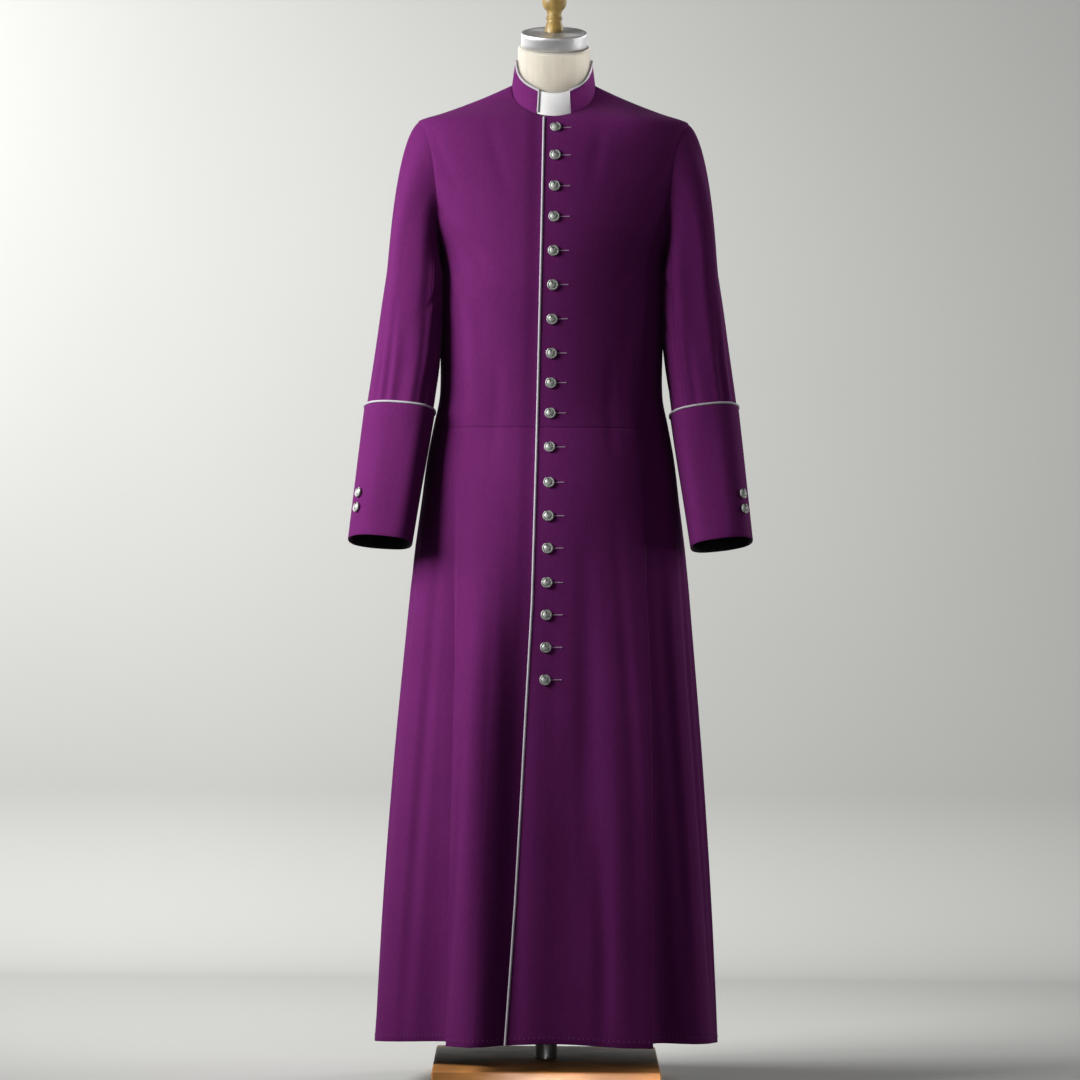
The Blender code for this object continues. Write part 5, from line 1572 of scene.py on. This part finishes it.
class DRESSFORM_OT_torso(Operator):
    """The form's linen-covered torso and neck, cut at a slant for the plate"""
    bl_idname = "dressform.torso"
    bl_label = "Torso"

    def execute(self, context):
        part = np.linspace(0.0, 1.0, FORM_ROWS)[:, None]
        height = FORM_BOTTOM + (FORM_TOP - FORM_BOTTOM) * (1.0 - (1.0 - part) ** FORM_CROWDING)
        turn = np.linspace(0.0, 2.0 * pi, FORM_COLUMNS + 1)[None, :-1]
        points = form_points(turn, height)
        points[0, :, 2] = FORM_BOTTOM
        data, _, _ = grid_mesh("form_torso_linen", points, upright_middles(points), wraps=True)
        shape = bmesh.new()
        shape.from_mesh(data)
        bmesh.ops.holes_fill(shape, edges=shape.edges, sides=0)
        shape.to_mesh(data)
        shape.free()
        torso = new_piece("form_torso_linen", data)

        bpy.ops.object.select_all(action="DESELECT")
        top = NECK_TOP + NECK_SPARE
        bpy.ops.mesh.primitive_cylinder_add(
            vertices=FORM_COLUMNS, radius=1.0, depth=top - NECK_ROOT,
            location=(0.0, 0.0, (top + NECK_ROOT) / 2.0), scale=(NECK_HALF_WIDTH, NECK_HALF_DEPTH, 1.0))
        neck = bpy.context.object
        cut_at_slant(NECK_TOP, keep_above=False)
        bpy.ops.mesh.bevel(offset=NECK_EDGE, segments=5, profile=0.5)
        bpy.ops.object.mode_set(mode="OBJECT")
        union = torso.modifiers.new("neck", "BOOLEAN")
        union.operation = "UNION"
        union.object = neck
        settle(torso, finish_of("form_linen"), radians(50.0))
        bpy.data.objects.remove(neck)
        carry(torso, "form_torso")

        seam = [
            (NECK_STITCH_ACROSS, -NECK_STITCH_DEPTH * NECK_HALF_DEPTH, height)
            for height in np.linspace(NECK_SEAM_FRONT, NECK_TOP - NECK_STITCH_DROP, 30)]
        stitch = cord_piece(
            "neck_linen_seam", seam, NECK_STITCH_RADIUS, finish_of("form_linen"), sides=6,
            ribs=NECK_STITCH_RIBS)
        carry(stitch, None)
        return {"FINISHED"}


class DRESSFORM_OT_neck_plate(Operator):
    """The brushed metal plate that closes the neck"""
    bl_idname = "dressform.neck_plate"
    bl_label = "Neck plate"

    def execute(self, context):
        radius = context.scene.dress_form.plate_radius
        foot = ((0.0022, 0.0), (0.0010, 0.0003), (0.0003, 0.0010), (0.0, 0.0022), (0.0, 0.0070))
        top = (
            (0.0, 0.0070), (0.0, 0.0022), (0.0004, 0.0009), (0.0012, 0.0002), (0.0024, 0.0),
            (0.0060, 0.0), (0.0068, 0.0007))
        middle = ((0.0200, 0.0007), (0.0194, 0.0001), (0.0010, 0.0001))
        rings = [(radius - inset, height) for inset, height in foot]
        rings += [(radius - inset, CAP_THICKNESS - drop) for inset, drop in top]
        rings += [(ring, CAP_THICKNESS - drop) for ring, drop in middle]
        plate = turned("neck_plate_metal", rings, FORM_COLUMNS)
        foot = Vector((0.0, 0.0, NECK_TOP)) + Vector(PLATE_NORMAL) * SEAT
        plate.data.transform(Matrix.Translation(foot) @ Matrix.Rotation(NECK_TILT, 4, "X"))
        settle(plate, finish_of("neck_plate"), radians(30.0))
        carry(plate, "neck_cap")
        return {"FINISHED"}


class DRESSFORM_OT_finial(Operator):
    """The turned wooden finial, its foot cut to the plate's slant"""
    bl_idname = "dressform.finial"
    bl_label = "Finial"

    def execute(self, context):
        knots = [  # radius, height above the plate's middle
            (0.0150, -0.0080), (0.0150, 0.0010), (0.0136, 0.0083), (0.0118, 0.0137), (0.0116, 0.0165),
            (0.0128, 0.0185), (0.0128, 0.0212), (0.0114, 0.0232), (0.0113, 0.0265), (0.0127, 0.0319),
            (0.0168, 0.0364), (0.0190, 0.0430), (0.0193, 0.0500), (0.0186, 0.0590), (0.0160, 0.0690),
            (0.0100, 0.0790), (0.0065, 0.0840), (0.0085, 0.0890), (0.0060, 0.0935), (0.0004, 0.0958),
        ]
        rings = smooth_curve(range(len(knots)), knots, np.linspace(0.0, len(knots) - 1, 4 * len(knots)))
        plate_top = NECK_TOP + (SEAT * 2.0 + CAP_THICKNESS) / cos(NECK_TILT)
        piece = turned("finial_turned", rings.tolist(), FINIAL_SIDES)
        cut_at_slant(0.0, keep_above=True)
        bpy.ops.object.mode_set(mode="OBJECT")
        piece.location.z = plate_top
        settle(piece, finish_of("finial_wood"), radians(35.0))
        carry(piece, "finial")
        return {"FINISHED"}


class DRESSFORM_OT_stand(Operator):
    """The pole and the square wooden base"""
    bl_idname = "dressform.stand"
    bl_label = "Stand"

    def execute(self, context):
        sizes = context.scene.dress_form
        low, high, radius = sizes.base_height + SEAT, FORM_BOTTOM - SEAT, sizes.pole_radius
        inner = radius - POLE_EDGE
        rings = [(inner, low), (radius, low + POLE_EDGE), (radius, high - POLE_EDGE), (inner, high)]
        pole = settle(turned("pole_tube", rings, POLE_SIDES), finish_of("pole"), radians(30.0))
        carry(pole, "pole")

        bpy.ops.object.select_all(action="DESELECT")
        bpy.ops.mesh.primitive_cube_add(
            size=1.0, location=(0.0, 0.0, sizes.base_height / 2.0),
            scale=(sizes.base_side, sizes.base_side, sizes.base_height))
        base = bpy.context.object
        base.name = "base_board"
        bpy.ops.object.transform_apply(location=True, rotation=True, scale=True)
        edit_all()
        bpy.ops.mesh.bevel(offset=sizes.base_edge, segments=4, profile=0.5)
        bpy.ops.object.mode_set(mode="OBJECT")
        settle(base, finish_of("base_wood"), radians(35.0))
        carry(base, "base")
        return {"FINISHED"}


PAPER_MIDDLE = (0.0, -3.0, 0.0)
PAPER_SIZE = (14.0, 10.0, 1.0)
PAPER_BEND = 0.35
BACKDROP_HEIGHT = 6.0
NARROW_LIGHT_HEIGHT = 0.03
FLOOR_SPREAD = radians(2.5)
NECK_SPREAD = radians(3.5)
DAYLIGHT = (0.95, 0.97, 1.0, 1.0)


class CASSOCK_OT_stage(Operator):
    """Pale floor and backdrop, soft lights and the camera"""
    bl_idname = "cassock.stage"
    bl_label = "Stage"

    def execute(self, context):
        stage = context.scene.cassock_stage
        self.hang_paper()
        self.set_lights(stage)
        self.set_world(context.scene, stage)
        bpy.ops.object.camera_add(location=(-stage.camera_aside, -stage.distance, stage.camera_height))
        camera = bpy.context.object
        camera.name = "camera"
        camera.data.lens = stage.focal_length
        camera.rotation_euler = (0.5 * pi, -stage.camera_roll, 0.0)
        context.scene.camera = camera
        return {"FINISHED"}

    def hang_paper(self):
        """One sheet for the floor and the backdrop, bent round between them."""
        bpy.ops.object.select_all(action="DESELECT")
        bpy.ops.mesh.primitive_plane_add(size=1.0, location=PAPER_MIDDLE)
        paper = bpy.context.object
        paper.name = "paper_sweep"
        paper.scale = PAPER_SIZE
        bpy.ops.object.transform_apply(location=True, rotation=True, scale=True)
        bpy.ops.object.mode_set(mode="EDIT")
        back = PAPER_MIDDLE[1] + PAPER_SIZE[1] / 2.0 - 0.1
        self.select_edges(paper, lambda low, high: min(low.y, high.y) > back)
        bpy.ops.mesh.extrude_region_move(TRANSFORM_OT_translate={"value": (0.0, 0.0, BACKDROP_HEIGHT)})
        self.select_edges(paper, lambda low, high: min(low.y, high.y) > back and max(low.z, high.z) < 0.1)
        bpy.ops.mesh.bevel(offset=PAPER_BEND, segments=16, profile=0.5)
        bpy.ops.object.mode_set(mode="OBJECT")
        settle(paper, self.paper())
        paper.visible_diffuse = False

    @staticmethod
    def set_lights(stage):
        """Five wide lights, and two narrow ones for the base and the form's neck."""
        middle, wide = (0.0, 0.0, 0.95), stage.light_spread
        lights = (  # name, place, width, spread, power and the point that it faces
            ("key_light", (-1.90, -1.03, 1.90), 0.9, wide, stage.key_power, (0.0, 0.0, 1.05)),
            ("fill_light", (0.9, -5.2, 1.5), 2.6, wide, stage.fill_power, middle),
            ("side_light", (2.6, 0.15, 1.3), 1.0, wide, stage.rim_power, middle),
            ("back_light", (2.0, 1.5, 2.3), 1.2, wide, stage.back_power, (0.0, 0.0, 0.9)),
            ("wall_light", (-3.4, 0.0, 2.5), 1.8, wide, stage.wall_power, (-0.4, 2.0, 1.15)),
            ("floor_light", (0.085, -2.4, 0.015), 0.32, FLOOR_SPREAD, stage.floor_power,
             (0.075, -0.1, 0.015)),
            ("neck_light", (1.4, -3.0, 0.35), 0.04, NECK_SPREAD, stage.neck_power, (0.060, -0.03, 1.620)),
        )
        for name, spot, size, spread, power, aim in lights:
            bpy.ops.object.light_add(type="AREA", location=spot)
            light = bpy.context.object
            light.name = name
            light.data.size = size
            light.data.energy = power
            light.data.spread = spread
            if name in ("floor_light", "neck_light"):
                light.data.shape = "RECTANGLE"
                light.data.size_y = NARROW_LIGHT_HEIGHT
                light.visible_glossy = name == "floor_light"
            light.rotation_euler = (Vector(aim) - Vector(spot)).to_track_quat("-Z", "Y").to_euler()

    @staticmethod
    def set_world(scene, stage):
        """Weak light from all round, and colours shown as they are."""
        world = bpy.data.worlds.new("studio")
        world.use_nodes = True
        background = world.node_tree.nodes["Background"]
        background.inputs["Color"].default_value = DAYLIGHT
        background.inputs["Strength"].default_value = stage.ambient
        scene.world = world
        scene.view_settings.view_transform = "Standard"

    @staticmethod
    def select_edges(thing, wanted):
        """Select in edit mode only the edges whose two ends are wanted."""
        bpy.ops.mesh.select_mode(type="EDGE")
        bpy.ops.mesh.select_all(action="DESELECT")
        shape = bmesh.from_edit_mesh(thing.data)
        for edge in shape.edges:
            if wanted(edge.verts[0].co, edge.verts[1].co):
                edge.select_set(True)
        bmesh.update_edit_mesh(thing.data)

    @staticmethod
    def paper():
        """Paper that shows on its lit side only, so that the backdrop hides nothing from behind."""
        made = new_material("paper")
        tree = made.node_tree
        colours = shades("cassock_stage", "paper_colour", 0.97)
        shader = colour_by(tree, noise(tree, 1.2), *colours, MIDDLE, Specular_IOR_Level=0.1, Roughness=0.9)
        mix = node(tree, "MixShader", {"Fac": node(tree, "NewGeometry").outputs["Backfacing"]})
        tree.links.new(shader.outputs[0], mix.inputs[1])
        tree.links.new(node(tree, "BsdfTransparent").outputs[0], mix.inputs[2])
        tree.links.new(mix.outputs[0], tree.nodes["Material Output"].inputs["Surface"])
        return made


OPERATORS = (
    CASSOCK_OT_skirt, CASSOCK_OT_bodice, CASSOCK_OT_sleeves, CASSOCK_OT_cuffs, CASSOCK_OT_collar,
    CASSOCK_OT_piping, CASSOCK_OT_buttons, CASSOCK_OT_stitching, DRESSFORM_OT_torso,
    DRESSFORM_OT_neck_plate, DRESSFORM_OT_finial, DRESSFORM_OT_stand, CASSOCK_OT_stage,
)


class CASSOCK_PT_tools(Panel):
    """The pieces, in the order in which they are built"""
    bl_label = "Cassock"
    bl_space_type = "VIEW_3D"
    bl_region_type = "UI"
    bl_category = "Cassock"

    def draw(self, context):
        for operator in OPERATORS:
            self.layout.operator(operator.bl_idname)
        for name, group in SETTINGS.items():
            box = self.layout.box()
            for setting in group.__annotations__:
                box.prop(getattr(context.scene, name), setting)


CLASSES = (*SETTINGS.values(), *OPERATORS, CASSOCK_PT_tools)


def register():
    for made in CLASSES:
        bpy.utils.register_class(made)
    for name, group in SETTINGS.items():
        setattr(bpy.types.Scene, name, PointerProperty(type=group))


def unregister():
    for name in SETTINGS:
        delattr(bpy.types.Scene, name)
    for made in reversed(CLASSES):
        bpy.utils.unregister_class(made)


def main():
    register()
    for operator in OPERATORS:
        family, action = operator.bl_idname.split(".")
        getattr(getattr(bpy.ops, family), action)()


if __name__ == "__main__":
    main()
